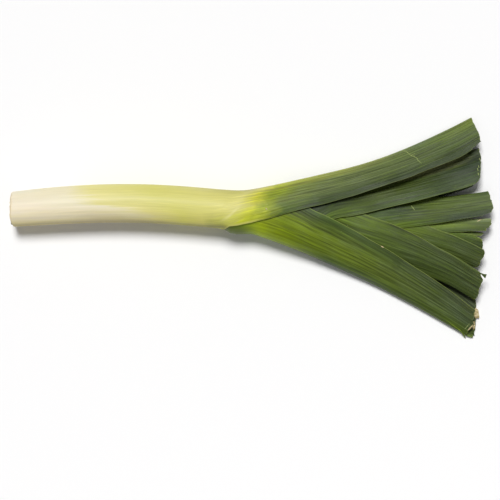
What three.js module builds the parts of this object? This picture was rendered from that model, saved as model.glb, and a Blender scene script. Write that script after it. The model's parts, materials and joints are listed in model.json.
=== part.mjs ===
// Leek: a basal plate and nine leaves. Every leaf is one body, a tubular sheath that
// wraps the younger ones and opens at its ligule into a blade folded along its keel.
// The keels face +Y and -Y by turns. Millimetres, +Z up, lying on its side along X:
// root end at -X, leaf fan at +X, resting on the XY plane.
import * as THREE from 'three';

// ---- driving dimensions (mm) ----
const PITCH = 1.65;          // radial step from one sheath to the next
const SHEATH_WALL = 1.3;
const BLADE_WALL = 0.7;
const LAYER_GAP = 0.35;      // air between two sheaths, and the extra between blades
const FAN_GAP = 0.2;
const ROOT_X = -204.90;      // cut face of the root end
const INNER_START = 3.85;    // sheaths 3 to 9 start this far behind the cut face
const PLATE_RADIUS = 11.2;
const PLATE_LENGTH = 3.5;
const ROOT_ROUND = 0.9;      // edge round of the outer sheath at the root end
const COLUMNS = 14;          // facets round a section
const SLIT_ANGLES = [171, 162, 152, 141, 130, 118, 105, 92];
const DROOP = 0.95;          // how far the fan settles onto the table, 0 to 1
const DROOP_FROM = -16.6, DROOP_TO = 109.2;  // X range over which it settles
const LIGULE = { 1: -25.12, 2: 10.58, 3: 22.48, 4: 41.18, 5: 62.43, 6: 83.68, 7: 104.93, 8: 126.18, 9: 147.43 };
// how wide the lower half of each blade is at its tip, against the upper half
const FAR_HALF = { 1: 0.97, 2: 1.19, 3: 1.03, 4: 0.96, 5: 0.92, 6: 0.97, 7: 0.94, 8: 0.95, 9: 0.9 };
// sections shared by all leaves, so that neighbours are faceted alike
const SECTION_X = [-201.07, -162.82, -120.32, -77.82, -43.82, -25.12, -13.22, -1.32, 10.58, 22.48, 41.18, 62.43, 83.68, 104.93, 126.18, 147.43, 168.68];
const COLOUR = {
  1: 0x76864a, 2: 0x647a34, 3: 0x586a3a, 4: 0x54683a, 5: 0x5f7340, 6: 0x566a38, 7: 0x64763f, 8: 0x566936, 9: 0x4c5f33,
};

// Guide lines along X. KEEL is the Y of each keel line (10 is the bud inside leaf 9),
// HALF_HEIGHT the half height of leaf 1, LAYER_PITCH_Z the step down to each next leaf.
// MARGIN_ANGLE is the half angle of the section left at X (180 is a closed tube);
// TIP_END is the X at which a blade ends, from its lower margin (-1) over the keel (0)
// to its upper margin (1).
const STATION = [
    -204.9, -196.82, -179.82, -162.82, -145.82, -128.82, -111.82, -94.82, -77.82, -60.82, -43.82, 
    -33.62, -28.52, -25.12, -21.72, -18.32, -13.22, -8.12, -1.32, 7.18, 19.93, 41.18, 62.43, 83.68, 
    104.93, 126.18, 147.43, 168.68, 181.43, 194.18, 204.38];
const KEEL = {
  1: [
    30.44, 31.38, 33.17, 34.66, 35.81, 36.59, 36.96, 36.89, 36.34, 35.37, 34.04, 33.11, 32.66, 
    32.37, 32.09, 31.85, 31.56, 31.54, 32.24, 33.76, 36.38, 41.26, 46.25, 51.48, 57.74, 65.51, 
    74.59, 84.68, 91.1, 97.72, 103.11],
  2: [
    2.25, 2.63, 3.51, 4.39, 5.15, 5.67, 5.81, 5.5, 4.76, 3.68, 2.3, 1.36, 0.87, 0.53, -1.96, -3.82, 
    -4.59, -4.38, -5.22, -7.8, -12.39, -20.45, -29.62, -39.01, -48.93, -59.77, -71.39, -83.63, 
    -91.2, -98.9, -105.14],
  3: [
    27.14, 28.08, 29.87, 31.36, 32.51, 33.29, 33.66, 33.59, 33.04, 32.07, 30.74, 29.81, 29.36, 
    29.07, 28.79, 28.51, 28.18, 28.07, 28.59, 29.66, 31.28, 34.04, 36.36, 38.73, 42.28, 47.24, 
    53.21, 59.89, 64.07, 68.39, 72.09],
  4: [
    5.55, 5.93, 6.81, 7.69, 8.45, 8.97, 9.11, 8.8, 8.06, 6.98, 5.6, 4.66, 4.23, 4.02, 1.82, 0.4, 
    0.17, 0.59, -0.04, -2.33, -6.44, -12.97, -19.18, -24.56, -29.69, -35.12, -40.91, -49.2, -56.51, 
    -63.96, -69.86],
  5: [
    23.84, 24.78, 26.57, 28.06, 29.21, 29.99, 30.36, 30.29, 29.74, 28.77, 27.44, 26.51, 26.06, 
    25.77, 25.48, 25.2, 24.83, 24.69, 25.1, 25.92, 26.86, 27.66, 27.15, 25.98, 25.16, 25.14, 25.96, 
    26.76, 28.12, 29.82, 31.71],
  6: [
    8.85, 9.23, 10.11, 10.99, 11.75, 12.27, 12.41, 12.1, 11.36, 10.28, 8.9, 7.96, 7.56, 7.42, 5.34, 
    4.1, 4.08, 4.59, 4.04, 1.84, -2.1, -8.04, -12.84, -16.06, -18.15, -19.82, -21.4, -25.4, -30.45, 
    -35.79, -40.11],
  7: [
    20.54, 21.48, 23.27, 24.76, 25.91, 26.69, 27.06, 26.99, 26.44, 25.47, 24.14, 23.21, 22.76, 
    22.47, 22.18, 21.89, 21.51, 21.33, 21.7, 22.39, 23.04, 23.24, 21.57, 18.76, 15.83, 13.24, 
    10.97, 8.4, 7.72, 7.49, 7.91],
  8: [
    12.15, 12.53, 13.41, 14.29, 15.05, 15.57, 15.71, 15.4, 14.66, 13.58, 12.2, 11.26, 10.86, 10.72, 
    8.64, 7.4, 7.4, 7.92, 7.4, 5.24, 1.39, -4.3, -8.57, -10.96, -11.92, -12.17, -12.16, -14.35, 
    -18.12, -22.19, -25.66],
  9: [
    17.24, 18.18, 19.97, 21.46, 22.61, 23.39, 23.76, 23.69, 23.14, 22.17, 20.84, 19.91, 19.46, 
    19.17, 18.88, 18.58, 18.19, 18, 18.35, 19.01, 19.6, 19.67, 17.74, 14.51, 10.89, 7.29, 3.51, 
    -0.77, -2.49, -3.82, -4.41],
  10: [
    15.45, 15.83, 16.71, 17.59, 18.35, 18.87, 19.01, 18.7, 17.96, 16.88, 15.5, 14.56, 14.16, 14.02, 
    11.94, 10.7, 10.7, 11.23, 10.71, 8.57, 4.74, -0.91, -5.1, -7.39, -8.1, -7.92, -7.12, -8.4, 
    -11.75, -15.42, -18.61],
};
const HALF_HEIGHT = [
    14.92, 15.2, 15.65, 15.96, 16.15, 16.29, 16.4, 16.52, 16.61, 16.67, 16.7, 16.7, 16.72, 16.74, 
    16.71, 16.67, 16.6, 16.52, 16.4, 16.22, 15.9, 15.3, 14.57, 13.8, 13.04, 12.3, 11.64, 11, 10.58, 
    10.2, 10];
const LAYER_PITCH_Z = [
    1.65, 1.65, 1.65, 1.65, 1.65, 1.65, 1.65, 1.65, 1.65, 1.65, 1.65, 1.65, 1.65, 1.65, 1.65, 1.65, 
    1.65, 1.65, 1.65, 1.647, 1.634, 1.6, 1.54, 1.46, 1.371, 1.28, 1.198, 1.12, 1.074, 1.03, 1];
const MARGIN_ANGLE = {
  1: [[-25.12, 180], [-24.02, 168], [-21.72, 150], [-18.32, 132.4], [-9.82, 124.9], [-1.32, 117.5], [7.18, 107.6], [15.68, 98.8], [24.18, 90.9], [41.18, 79.9], [58.18, 72.1], [83.68, 63.4], [109.18, 56.1], [134.68, 51.7], [160.18, 48.8], [177.18, 47.4], [187.38, 45.3], [204.38, 41.3]],
  2: [[10.58, 180], [13.13, 170], [16.53, 160], [24.18, 144], [32.68, 131], [41.18, 119], [50.53, 108.3], [58.18, 102.8], [66.68, 97.3], [83.68, 87.8], [100.68, 78.8], [126.18, 68], [143.18, 61.6], [168.68, 53.7], [189.93, 46.7], [204.38, 42.5]],
  3: [[22.48, 180], [25.03, 170], [29.28, 160], [37.78, 144], [45.43, 130], [58.18, 108], [69.23, 90.3], [83.68, 83.9], [109.18, 75.2], [134.68, 68.6], [160.18, 64.1], [177.18, 60.6], [188.23, 57.8], [204.38, 53.1]],
  4: [[41.18, 180], [45.43, 168], [49.68, 160], [58.18, 149], [66.68, 140], [75.18, 131], [83.68, 123], [94.73, 116.3], [109.18, 107.1], [126.18, 97.1], [143.18, 85.6], [160.18, 75], [177.18, 68.5], [194.18, 62.8], [204.38, 59.4]],
  5: [[62.43, 180], [66.68, 168], [75.18, 150], [83.68, 136], [92.18, 125], [104.93, 112], [117.68, 101], [127.88, 95.2], [143.18, 90.1], [160.18, 82.8], [177.18, 72.7], [194.18, 65.9], [204.38, 63.2]],
  6: [[83.68, 180], [87.93, 172], [92.18, 166], [104.93, 152], [117.68, 140], [130.43, 128], [143.18, 118.8], [152.53, 108.9], [168.68, 95.9], [185.68, 86.1], [196.73, 79.1], [204.38, 75.3]],
  7: [[104.93, 180], [109.18, 168], [117.68, 150], [126.18, 134], [134.68, 122], [143.18, 112], [153.38, 103], [164.43, 95.8], [177.18, 82.8], [189.93, 72.8], [204.38, 65.4]],
  8: [[126.18, 180], [130.43, 172], [134.68, 165], [143.18, 150], [155.93, 136], [168.68, 128], [177.18, 125], [186.53, 122.9], [196.73, 102], [204.38, 87.1]],
  9: [[147.43, 180], [151.68, 168], [157.63, 150], [164.43, 130], [171.23, 110], [178.88, 90], [185.68, 71.7], [196.73, 59.3], [204.38, 53.8]],
};
const TIP_END = {
  1: [[-1, 186.1], [-0.9, 186.95], [-0.8, 190.35], [-0.7, 190.78], [-0.4, 187.8], [0, 187.38], [0.4, 188.65], [0.605, 190.69], [0.78, 192.9], [0.854, 193.58], [0.925, 193.67], [0.955, 194.6], [0.97, 190.78], [0.982, 187.38], [1, 187.38]],
  2: [[-1, 191.63], [-0.85, 192.48], [-0.75, 192.05], [-0.6, 191.63], [-0.5, 191.2], [-0.35, 189.5], [-0.2, 189.08], [0, 181.43], [0.415, 184.57], [0.6, 187.38], [0.71, 189.5], [0.77, 187.8], [0.846, 189.08], [0.875, 188.48], [1, 189.84]],
  3: [[-1, 189.08], [-0.8, 194.18], [-0.5, 193.33], [-0.2, 193.75], [0, 193.33], [0.32, 194.18], [0.47, 194.86], [0.568, 195.28], [0.6, 194.77], [0.668, 195.03], [0.724, 194.35], [0.785, 194.77], [0.87, 194.18], [0.935, 194.01], [0.975, 192.05], [1, 189.08]],
  4: [[-1, 193.33], [-0.8, 194.18], [-0.5, 192.48], [-0.2, 189.93], [0, 189.5], [0.2, 190.44], [0.4, 192.14], [0.595, 193.16], [0.67, 193.41], [0.805, 195.03], [0.894, 196.56], [0.94, 194.69], [1, 193.84]],
  5: [[-1, 195.88], [-0.9, 201.83], [-0.6, 203.1], [-0.3, 201.83], [0, 201.4], [0.41, 202.93], [0.583, 202.85], [0.61, 204.04], [0.77, 205.06], [0.858, 205.06], [0.914, 203.78], [0.95, 203.02], [0.975, 197.58], [1, 195.03]],
  6: [[-1, 195.03], [-0.7, 195.88], [-0.3, 192.48], [0, 188.65], [0.215, 191.63], [0.43, 193.75], [0.63, 194.18], [0.79, 196.73], [0.91, 197.58], [1, 196.73]],
  7: [[-1, 199.28], [-0.6, 202.68], [0, 203.1], [0.354, 204.29], [0.527, 203.53], [0.635, 204.38], [0.742, 202.93], [0.858, 201.4], [0.889, 199.11], [1, 198.85]],
  8: [[-1, 194.18], [-0.5, 195.03], [0, 192.48], [0.4, 195.03], [0.75, 196.73], [1, 195.88]],
  9: [[-1, 195.03], [0, 195.88], [0.5, 197.15], [1, 195.03]],
};

// ---- helpers ----
const at = (xs, ys, x) => {
  if (x <= xs[0]) return ys[0];
  for (let i = 1; i < xs.length; i++) {
    if (x <= xs[i]) {
      // monotone cubic between table rows
      const h = xs[i] - xs[i - 1];
      const d = (j) => (ys[j + 1] - ys[j]) / (xs[j + 1] - xs[j]);
      const slope = (j) => {
        if (j === 0) return d(0);
        if (j === xs.length - 1) return d(j - 1);
        const a = d(j - 1), b = d(j);
        if (a * b <= 0) return 0;
        const h0 = xs[j] - xs[j - 1], h1 = xs[j + 1] - xs[j];
        const w1 = 2 * h1 + h0, w2 = h1 + 2 * h0;
        return (w1 + w2) / (w1 / a + w2 / b);
      };
      const t = (x - xs[i - 1]) / h;
      const m0 = slope(i - 1) * h, m1 = slope(i) * h;
      const t2 = t * t, t3 = t2 * t;
      return (2 * t3 - 3 * t2 + 1) * ys[i - 1] + (t3 - 2 * t2 + t) * m0
        + (3 * t2 - 2 * t3) * ys[i] + (t3 - t2) * m1;
    }
  }
  return ys[ys.length - 1];
};
const alongPairs = (pairs, x) => at(pairs.map((p) => p[0]), pairs.map((p) => p[1]), x);
const smooth = (a, b, x) => {
  const t = Math.min(1, Math.max(0, (x - a) / (b - a)));
  return t * t * (3 - 2 * t);
};
const keel = (k, x) => at(STATION, KEEL[k], x);
const halfHeight = (k, x) => at(STATION, HALF_HEIGHT, x) - (k - 1) * at(STATION, LAYER_PITCH_Z, x);

// the oval that leaf k lies on at x
function oval(k, x) {
  const side = k % 2 === 1 ? 1 : -1;
  const a = keel(k, x), b = keel(k + 1, x) - side * PITCH;
  return { side, m: (a + b) / 2, w: Math.abs(a - b) / 2, h: halfHeight(k, x) };
}
// height of the common axis: the shank lies on the flat strip under it
function axisHeight(x) {
  const h = halfHeight(1, x);
  return x <= LIGULE[1] + 0.01 ? h * Math.cos(Math.PI / COLUMNS) : h;
}
// the fan sinks flat onto the table: one shear for all leaves, so nesting is kept
function sink(x, y) {
  const q = DROOP * smooth(DROOP_FROM, DROOP_TO, x);
  if (q === 0) return 0;
  const o = oval(1, x);
  const v = Math.min(1, Math.abs((y - o.m) / o.w)), v2 = v * v;
  return q * o.h * (v2 / 2 + (v2 * v2) / 8 + (v2 ** 3) / 16 + 0.1 * v2 ** 4);
}
// point on leaf k at x and section angle a (0 at the keel, + over the top), depth t inside
function leafPoint(k, x, a, t) {
  const o = oval(k, x);
  const trim = k === 1 && x < ROOT_X + 0.5 && t === 0 ? ROOT_ROUND : 0;
  const c = Math.cos(a), s = Math.sin(a);
  let w = o.w - trim, h = o.h - trim;
  let y = w * c, z = h * s;
  if (t > 0) {
    const nx = h * c, nz = w * s, n = Math.hypot(nx, nz) || 1;
    y -= (t * nx) / n;
    z -= (t * nz) / n;
  }
  y = o.m + o.side * y;
  return [x, y, axisHeight(x) + z - sink(x, y)];
}
// walls thin out towards the ligule, and where the layers lie flatter and closer
const wall = (k, x) => Math.min(
  SHEATH_WALL + (BLADE_WALL - SHEATH_WALL) * smooth(LIGULE[k] - 48, LIGULE[k] - 6, x),
  at(STATION, LAYER_PITCH_Z, x) - LAYER_GAP - FAN_GAP * smooth(LIGULE[1], LIGULE[2], x),
);

// ---- one leaf as a closed body ----
function leafGeometry(k) {
  const lig = LIGULE[k], heart = k === 9;
  const start = k <= 2 ? ROOT_X : ROOT_X + INNER_START;
  const xs = [start];
  if (k === 1) xs.push(ROOT_X + 1.1);
  for (const x of SECTION_X) if (x > start + 2) xs.push(x);
  // more stations where the tube opens, so the slit stays on the oval
  const firstOf = (deg) => {
    const p = MARGIN_ANGLE[k];
    for (let i = 1; i < p.length; i++) {
      if (p[i][1] <= deg) return p[i - 1][0] + ((p[i][0] - p[i - 1][0]) * (p[i - 1][1] - deg)) / (p[i - 1][1] - p[i][1]);
    }
    return Infinity;
  };
  for (const deg of SLIT_ANGLES) {
    const x = firstOf(deg);
    if (x < 190 && xs.every((q) => Math.abs(q - x) > 1)) xs.push(x);
  }
  xs.sort((a, b) => a - b);
  const rows = xs.length;              // the last row is the tip
  const iLig = xs.reduce((best, x, i) => (Math.abs(x - lig) < Math.abs(xs[best] - lig) ? i : best), 0);
  const half = COLUMNS / 2;
  const near = (x) => (x <= lig + 0.01 ? Math.PI : (alongPairs(MARGIN_ANGLE[k], x) * Math.PI) / 180);
  const farEnd = TIP_END[k][0][1];
  const far = (x) => near(x) * (1 + (FAR_HALF[k] - 1) * smooth(lig, farEnd, x));
  const angle = (x, j) => {
    const c = (j - half) / half;
    return c < 0 ? c * far(x) : c * near(x);
  };
  const pos = [], idx = [];
  const add = (p) => { pos.push(p[0], p[1], p[2]); return pos.length / 3 - 1; };
  const outer = [], inner = [];
  for (let i = 0; i <= rows; i++) {
    const ro = [], ri = [];
    for (let j = 0; j <= COLUMNS; j++) {
      if (i <= iLig && j === COLUMNS) { ro.push(ro[0]); ri.push(ri[0]); break; }
      const x = i < rows ? xs[i] : alongPairs(TIP_END[k], (j - half) / half);
      const a = angle(x, j);
      ro.push(add(leafPoint(k, x, a, 0)));
      ri.push(heart && i < iLig ? -1 : add(leafPoint(k, x, a, wall(k, x))));
    }
    outer.push(ro);
    inner.push(ri);
  }
  const quad = (a, b, c, d) => { idx.push(a, b, c, a, c, d); };
  const n = rows;
  for (let i = 0; i < n; i++) {
    for (let j = 0; j < COLUMNS; j++) {
      quad(outer[i][j], outer[i + 1][j], outer[i + 1][j + 1], outer[i][j + 1]);
      if (!heart || i >= iLig) quad(inner[i][j], inner[i][j + 1], inner[i + 1][j + 1], inner[i + 1][j]);
    }
    if (i >= iLig) {
      quad(outer[i + 1][0], outer[i][0], inner[i][0], inner[i + 1][0]);
      quad(outer[i][COLUMNS], outer[i + 1][COLUMNS], inner[i + 1][COLUMNS], inner[i][COLUMNS]);
    }
  }
  const centre = (ring) => {
    let x = 0, y = 0, z = 0;
    for (let j = 0; j < COLUMNS; j++) { x += pos[3 * ring[j]]; y += pos[3 * ring[j] + 1]; z += pos[3 * ring[j] + 2]; }
    return add([x / COLUMNS, y / COLUMNS, z / COLUMNS]);
  };
  if (heart) {
    const c0 = centre(outer[0]), c1 = centre(inner[iLig]);
    for (let j = 0; j < COLUMNS; j++) {
      idx.push(outer[0][j], outer[0][j + 1], c0);
      idx.push(inner[iLig][j + 1], inner[iLig][j], c1);
    }
  } else {
    for (let j = 0; j < COLUMNS; j++) quad(outer[0][j], outer[0][j + 1], inner[0][j + 1], inner[0][j]);
  }
  for (let j = 0; j < COLUMNS; j++) quad(outer[n][j + 1], outer[n][j], inner[n][j], inner[n][j + 1]);
  return closedBody(pos, idx);
}

// turn the faces outward if they were listed the other way round
function closedBody(pos, idx) {
  let v = 0;
  for (let i = 0; i < idx.length; i += 3) {
    const [a, b, c] = [3 * idx[i], 3 * idx[i + 1], 3 * idx[i + 2]];
    v += pos[a] * (pos[b + 1] * pos[c + 2] - pos[b + 2] * pos[c + 1])
      - pos[a + 1] * (pos[b] * pos[c + 2] - pos[b + 2] * pos[c])
      + pos[a + 2] * (pos[b] * pos[c + 1] - pos[b + 1] * pos[c]);
  }
  if (v < 0) for (let i = 0; i < idx.length; i += 3) [idx[i + 1], idx[i + 2]] = [idx[i + 2], idx[i + 1]];
  const g = new THREE.BufferGeometry();
  g.setAttribute('position', new THREE.Float32BufferAttribute(pos, 3));
  g.setIndex(idx);
  g.computeVertexNormals();
  return g;
}

// ---- basal plate: the disc of stem inside the two outer sheaths ----
function plateGeometry() {
  const o = oval(1, ROOT_X), zc = axisHeight(ROOT_X), n = 28;
  const pos = [], idx = [];
  const ring = (x, r) => {
    const first = pos.length / 3;
    for (let j = 0; j < n; j++) {
      const a = (2 * Math.PI * j) / n;
      pos.push(x, o.m + r * Math.cos(a), zc + r * Math.sin(a));
    }
    return first;
  };
  const rings = [ring(ROOT_X, PLATE_RADIUS - 0.7), ring(ROOT_X + 0.7, PLATE_RADIUS), ring(ROOT_X + PLATE_LENGTH, PLATE_RADIUS)];
  for (let r = 0; r + 1 < rings.length; r++) {
    for (let j = 0; j < n; j++) {
      const a = rings[r] + j, b = rings[r] + ((j + 1) % n), c = rings[r + 1] + j, d = rings[r + 1] + ((j + 1) % n);
      idx.push(a, c, d, a, d, b);
    }
  }
  const c0 = pos.length / 3;
  pos.push(ROOT_X, o.m, zc, ROOT_X + PLATE_LENGTH, o.m, zc);
  for (let j = 0; j < n; j++) {
    const k = (j + 1) % n;
    idx.push(rings[0] + j, rings[0] + k, c0);
    idx.push(rings[2] + k, rings[2] + j, c0 + 1);
  }
  return closedBody(pos, idx);
}

const group = new THREE.Group();
group.name = 'leek';
function put(name, geometry, colour, roughness) {
  const mesh = new THREE.Mesh(geometry, new THREE.MeshStandardMaterial({ color: colour, roughness, metalness: 0 }));
  mesh.name = name;
  group.add(mesh);
}
put('basal_plate', plateGeometry(), 0xe6dcc0, 0.7);
for (let k = 1; k <= 9; k++) {
  const name = k === 1 ? 'leaf_1_outermost' : k === 9 ? 'leaf_9_heart' : `leaf_${k}`;
  put(name, leafGeometry(k), COLOUR[k], 0.55);
}

export default group;
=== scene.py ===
import json
import math

import bpy
import numpy as np
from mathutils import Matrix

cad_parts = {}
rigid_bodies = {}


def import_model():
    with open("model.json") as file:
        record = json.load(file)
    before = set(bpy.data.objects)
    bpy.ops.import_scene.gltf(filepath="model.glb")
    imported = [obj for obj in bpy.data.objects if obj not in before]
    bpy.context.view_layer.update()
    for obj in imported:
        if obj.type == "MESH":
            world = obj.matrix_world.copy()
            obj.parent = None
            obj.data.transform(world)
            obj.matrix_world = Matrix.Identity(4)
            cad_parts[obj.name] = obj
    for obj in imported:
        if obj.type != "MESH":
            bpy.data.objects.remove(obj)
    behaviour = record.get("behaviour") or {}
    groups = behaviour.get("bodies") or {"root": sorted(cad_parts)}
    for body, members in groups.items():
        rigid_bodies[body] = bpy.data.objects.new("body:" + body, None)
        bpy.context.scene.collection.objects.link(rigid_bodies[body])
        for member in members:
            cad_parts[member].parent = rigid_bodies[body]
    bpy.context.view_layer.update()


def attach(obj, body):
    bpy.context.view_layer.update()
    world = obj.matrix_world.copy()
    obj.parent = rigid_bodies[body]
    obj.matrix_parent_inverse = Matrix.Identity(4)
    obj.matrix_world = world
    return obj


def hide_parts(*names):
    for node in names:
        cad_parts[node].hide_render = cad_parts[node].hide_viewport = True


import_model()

# ---------------------------------------------------------------- guide lines (mm)
# The same growth tables as the solids: stations along X, keel lines, margins, tips.
STATION = [
    -204.9, -196.82, -179.82, -162.82, -145.82, -128.82, -111.82, -94.82, -77.82, -60.82, -43.82, 
    -33.62, -28.52, -25.12, -21.72, -18.32, -13.22, -8.12, -1.32, 7.18, 19.93, 41.18, 62.43, 83.68, 
    104.93, 126.18, 147.43, 168.68, 181.43, 194.18, 204.38]
KEEL = {
    1: [
    30.44, 31.38, 33.17, 34.66, 35.81, 36.59, 36.96, 36.89, 36.34, 35.37, 34.04, 33.11, 32.66, 
    32.37, 32.09, 31.85, 31.56, 31.54, 32.24, 33.76, 36.38, 41.26, 46.25, 51.48, 57.74, 65.51, 
    74.59, 84.68, 91.1, 97.72, 103.11],
    2: [
    2.25, 2.63, 3.51, 4.39, 5.15, 5.67, 5.81, 5.5, 4.76, 3.68, 2.3, 1.36, 0.87, 0.53, -1.96, -3.82, 
    -4.59, -4.38, -5.22, -7.8, -12.39, -20.45, -29.62, -39.01, -48.93, -59.77, -71.39, -83.63, 
    -91.2, -98.9, -105.14],
    3: [
    27.14, 28.08, 29.87, 31.36, 32.51, 33.29, 33.66, 33.59, 33.04, 32.07, 30.74, 29.81, 29.36, 
    29.07, 28.79, 28.51, 28.18, 28.07, 28.59, 29.66, 31.28, 34.04, 36.36, 38.73, 42.28, 47.24, 
    53.21, 59.89, 64.07, 68.39, 72.09],
    4: [
    5.55, 5.93, 6.81, 7.69, 8.45, 8.97, 9.11, 8.8, 8.06, 6.98, 5.6, 4.66, 4.23, 4.02, 1.82, 0.4, 
    0.17, 0.59, -0.04, -2.33, -6.44, -12.97, -19.18, -24.56, -29.69, -35.12, -40.91, -49.2, -56.51, 
    -63.96, -69.86],
    5: [
    23.84, 24.78, 26.57, 28.06, 29.21, 29.99, 30.36, 30.29, 29.74, 28.77, 27.44, 26.51, 26.06, 
    25.77, 25.48, 25.2, 24.83, 24.69, 25.1, 25.92, 26.86, 27.66, 27.15, 25.98, 25.16, 25.14, 25.96, 
    26.76, 28.12, 29.82, 31.71],
    6: [
    8.85, 9.23, 10.11, 10.99, 11.75, 12.27, 12.41, 12.1, 11.36, 10.28, 8.9, 7.96, 7.56, 7.42, 5.34, 
    4.1, 4.08, 4.59, 4.04, 1.84, -2.1, -8.04, -12.84, -16.06, -18.15, -19.82, -21.4, -25.4, -30.45, 
    -35.79, -40.11],
    7: [
    20.54, 21.48, 23.27, 24.76, 25.91, 26.69, 27.06, 26.99, 26.44, 25.47, 24.14, 23.21, 22.76, 
    22.47, 22.18, 21.89, 21.51, 21.33, 21.7, 22.39, 23.04, 23.24, 21.57, 18.76, 15.83, 13.24, 
    10.97, 8.4, 7.72, 7.49, 7.91],
    8: [
    12.15, 12.53, 13.41, 14.29, 15.05, 15.57, 15.71, 15.4, 14.66, 13.58, 12.2, 11.26, 10.86, 10.72, 
    8.64, 7.4, 7.4, 7.92, 7.4, 5.24, 1.39, -4.3, -8.57, -10.96, -11.92, -12.17, -12.16, -14.35, 
    -18.12, -22.19, -25.66],
    9: [
    17.24, 18.18, 19.97, 21.46, 22.61, 23.39, 23.76, 23.69, 23.14, 22.17, 20.84, 19.91, 19.46, 
    19.17, 18.88, 18.58, 18.19, 18, 18.35, 19.01, 19.6, 19.67, 17.74, 14.51, 10.89, 7.29, 3.51, 
    -0.77, -2.49, -3.82, -4.41],
    10: [
    15.45, 15.83, 16.71, 17.59, 18.35, 18.87, 19.01, 18.7, 17.96, 16.88, 15.5, 14.56, 14.16, 14.02, 
    11.94, 10.7, 10.7, 11.23, 10.71, 8.57, 4.74, -0.91, -5.1, -7.39, -8.1, -7.92, -7.12, -8.4, 
    -11.75, -15.42, -18.61],
}
HALF_HEIGHT = [
    14.92, 15.2, 15.65, 15.96, 16.15, 16.29, 16.4, 16.52, 16.61, 16.67, 16.7, 16.7, 16.72, 16.74, 
    16.71, 16.67, 16.6, 16.52, 16.4, 16.22, 15.9, 15.3, 14.57, 13.8, 13.04, 12.3, 11.64, 11, 10.58, 
    10.2, 10]
LAYER_PITCH_Z = [
    1.65, 1.65, 1.65, 1.65, 1.65, 1.65, 1.65, 1.65, 1.65, 1.65, 1.65, 1.65, 1.65, 1.65, 1.65, 1.65, 
    1.65, 1.65, 1.65, 1.647, 1.634, 1.6, 1.54, 1.46, 1.371, 1.28, 1.198, 1.12, 1.074, 1.03, 1]
MARGIN_ANGLE = {
    1: [(-25.12, 180), (-24.02, 168), (-21.72, 150), (-18.32, 132.4), (-9.82, 124.9), (-1.32, 117.5), (7.18, 107.6), (15.68, 98.8), (24.18, 90.9), (41.18, 79.9), (58.18, 72.1), (83.68, 63.4), (109.18, 56.1), (134.68, 51.7), (160.18, 48.8), (177.18, 47.4), (187.38, 45.3), (204.38, 41.3)],
    2: [(10.58, 180), (13.13, 170), (16.53, 160), (24.18, 144), (32.68, 131), (41.18, 119), (50.53, 108.3), (58.18, 102.8), (66.68, 97.3), (83.68, 87.8), (100.68, 78.8), (126.18, 68), (143.18, 61.6), (168.68, 53.7), (189.93, 46.7), (204.38, 42.5)],
    3: [(22.48, 180), (25.03, 170), (29.28, 160), (37.78, 144), (45.43, 130), (58.18, 108), (69.23, 90.3), (83.68, 83.9), (109.18, 75.2), (134.68, 68.6), (160.18, 64.1), (177.18, 60.6), (188.23, 57.8), (204.38, 53.1)],
    4: [(41.18, 180), (45.43, 168), (49.68, 160), (58.18, 149), (66.68, 140), (75.18, 131), (83.68, 123), (94.73, 116.3), (109.18, 107.1), (126.18, 97.1), (143.18, 85.6), (160.18, 75), (177.18, 68.5), (194.18, 62.8), (204.38, 59.4)],
    5: [(62.43, 180), (66.68, 168), (75.18, 150), (83.68, 136), (92.18, 125), (104.93, 112), (117.68, 101), (127.88, 95.2), (143.18, 90.1), (160.18, 82.8), (177.18, 72.7), (194.18, 65.9), (204.38, 63.2)],
    6: [(83.68, 180), (87.93, 172), (92.18, 166), (104.93, 152), (117.68, 140), (130.43, 128), (143.18, 118.8), (152.53, 108.9), (168.68, 95.9), (185.68, 86.1), (196.73, 79.1), (204.38, 75.3)],
    7: [(104.93, 180), (109.18, 168), (117.68, 150), (126.18, 134), (134.68, 122), (143.18, 112), (153.38, 103), (164.43, 95.8), (177.18, 82.8), (189.93, 72.8), (204.38, 65.4)],
    8: [(126.18, 180), (130.43, 172), (134.68, 165), (143.18, 150), (155.93, 136), (168.68, 128), (177.18, 125), (186.53, 122.9), (196.73, 102), (204.38, 87.1)],
    9: [(147.43, 180), (151.68, 168), (157.63, 150), (164.43, 130), (171.23, 110), (178.88, 90), (185.68, 71.7), (196.73, 59.3), (204.38, 53.8)],
}
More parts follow.
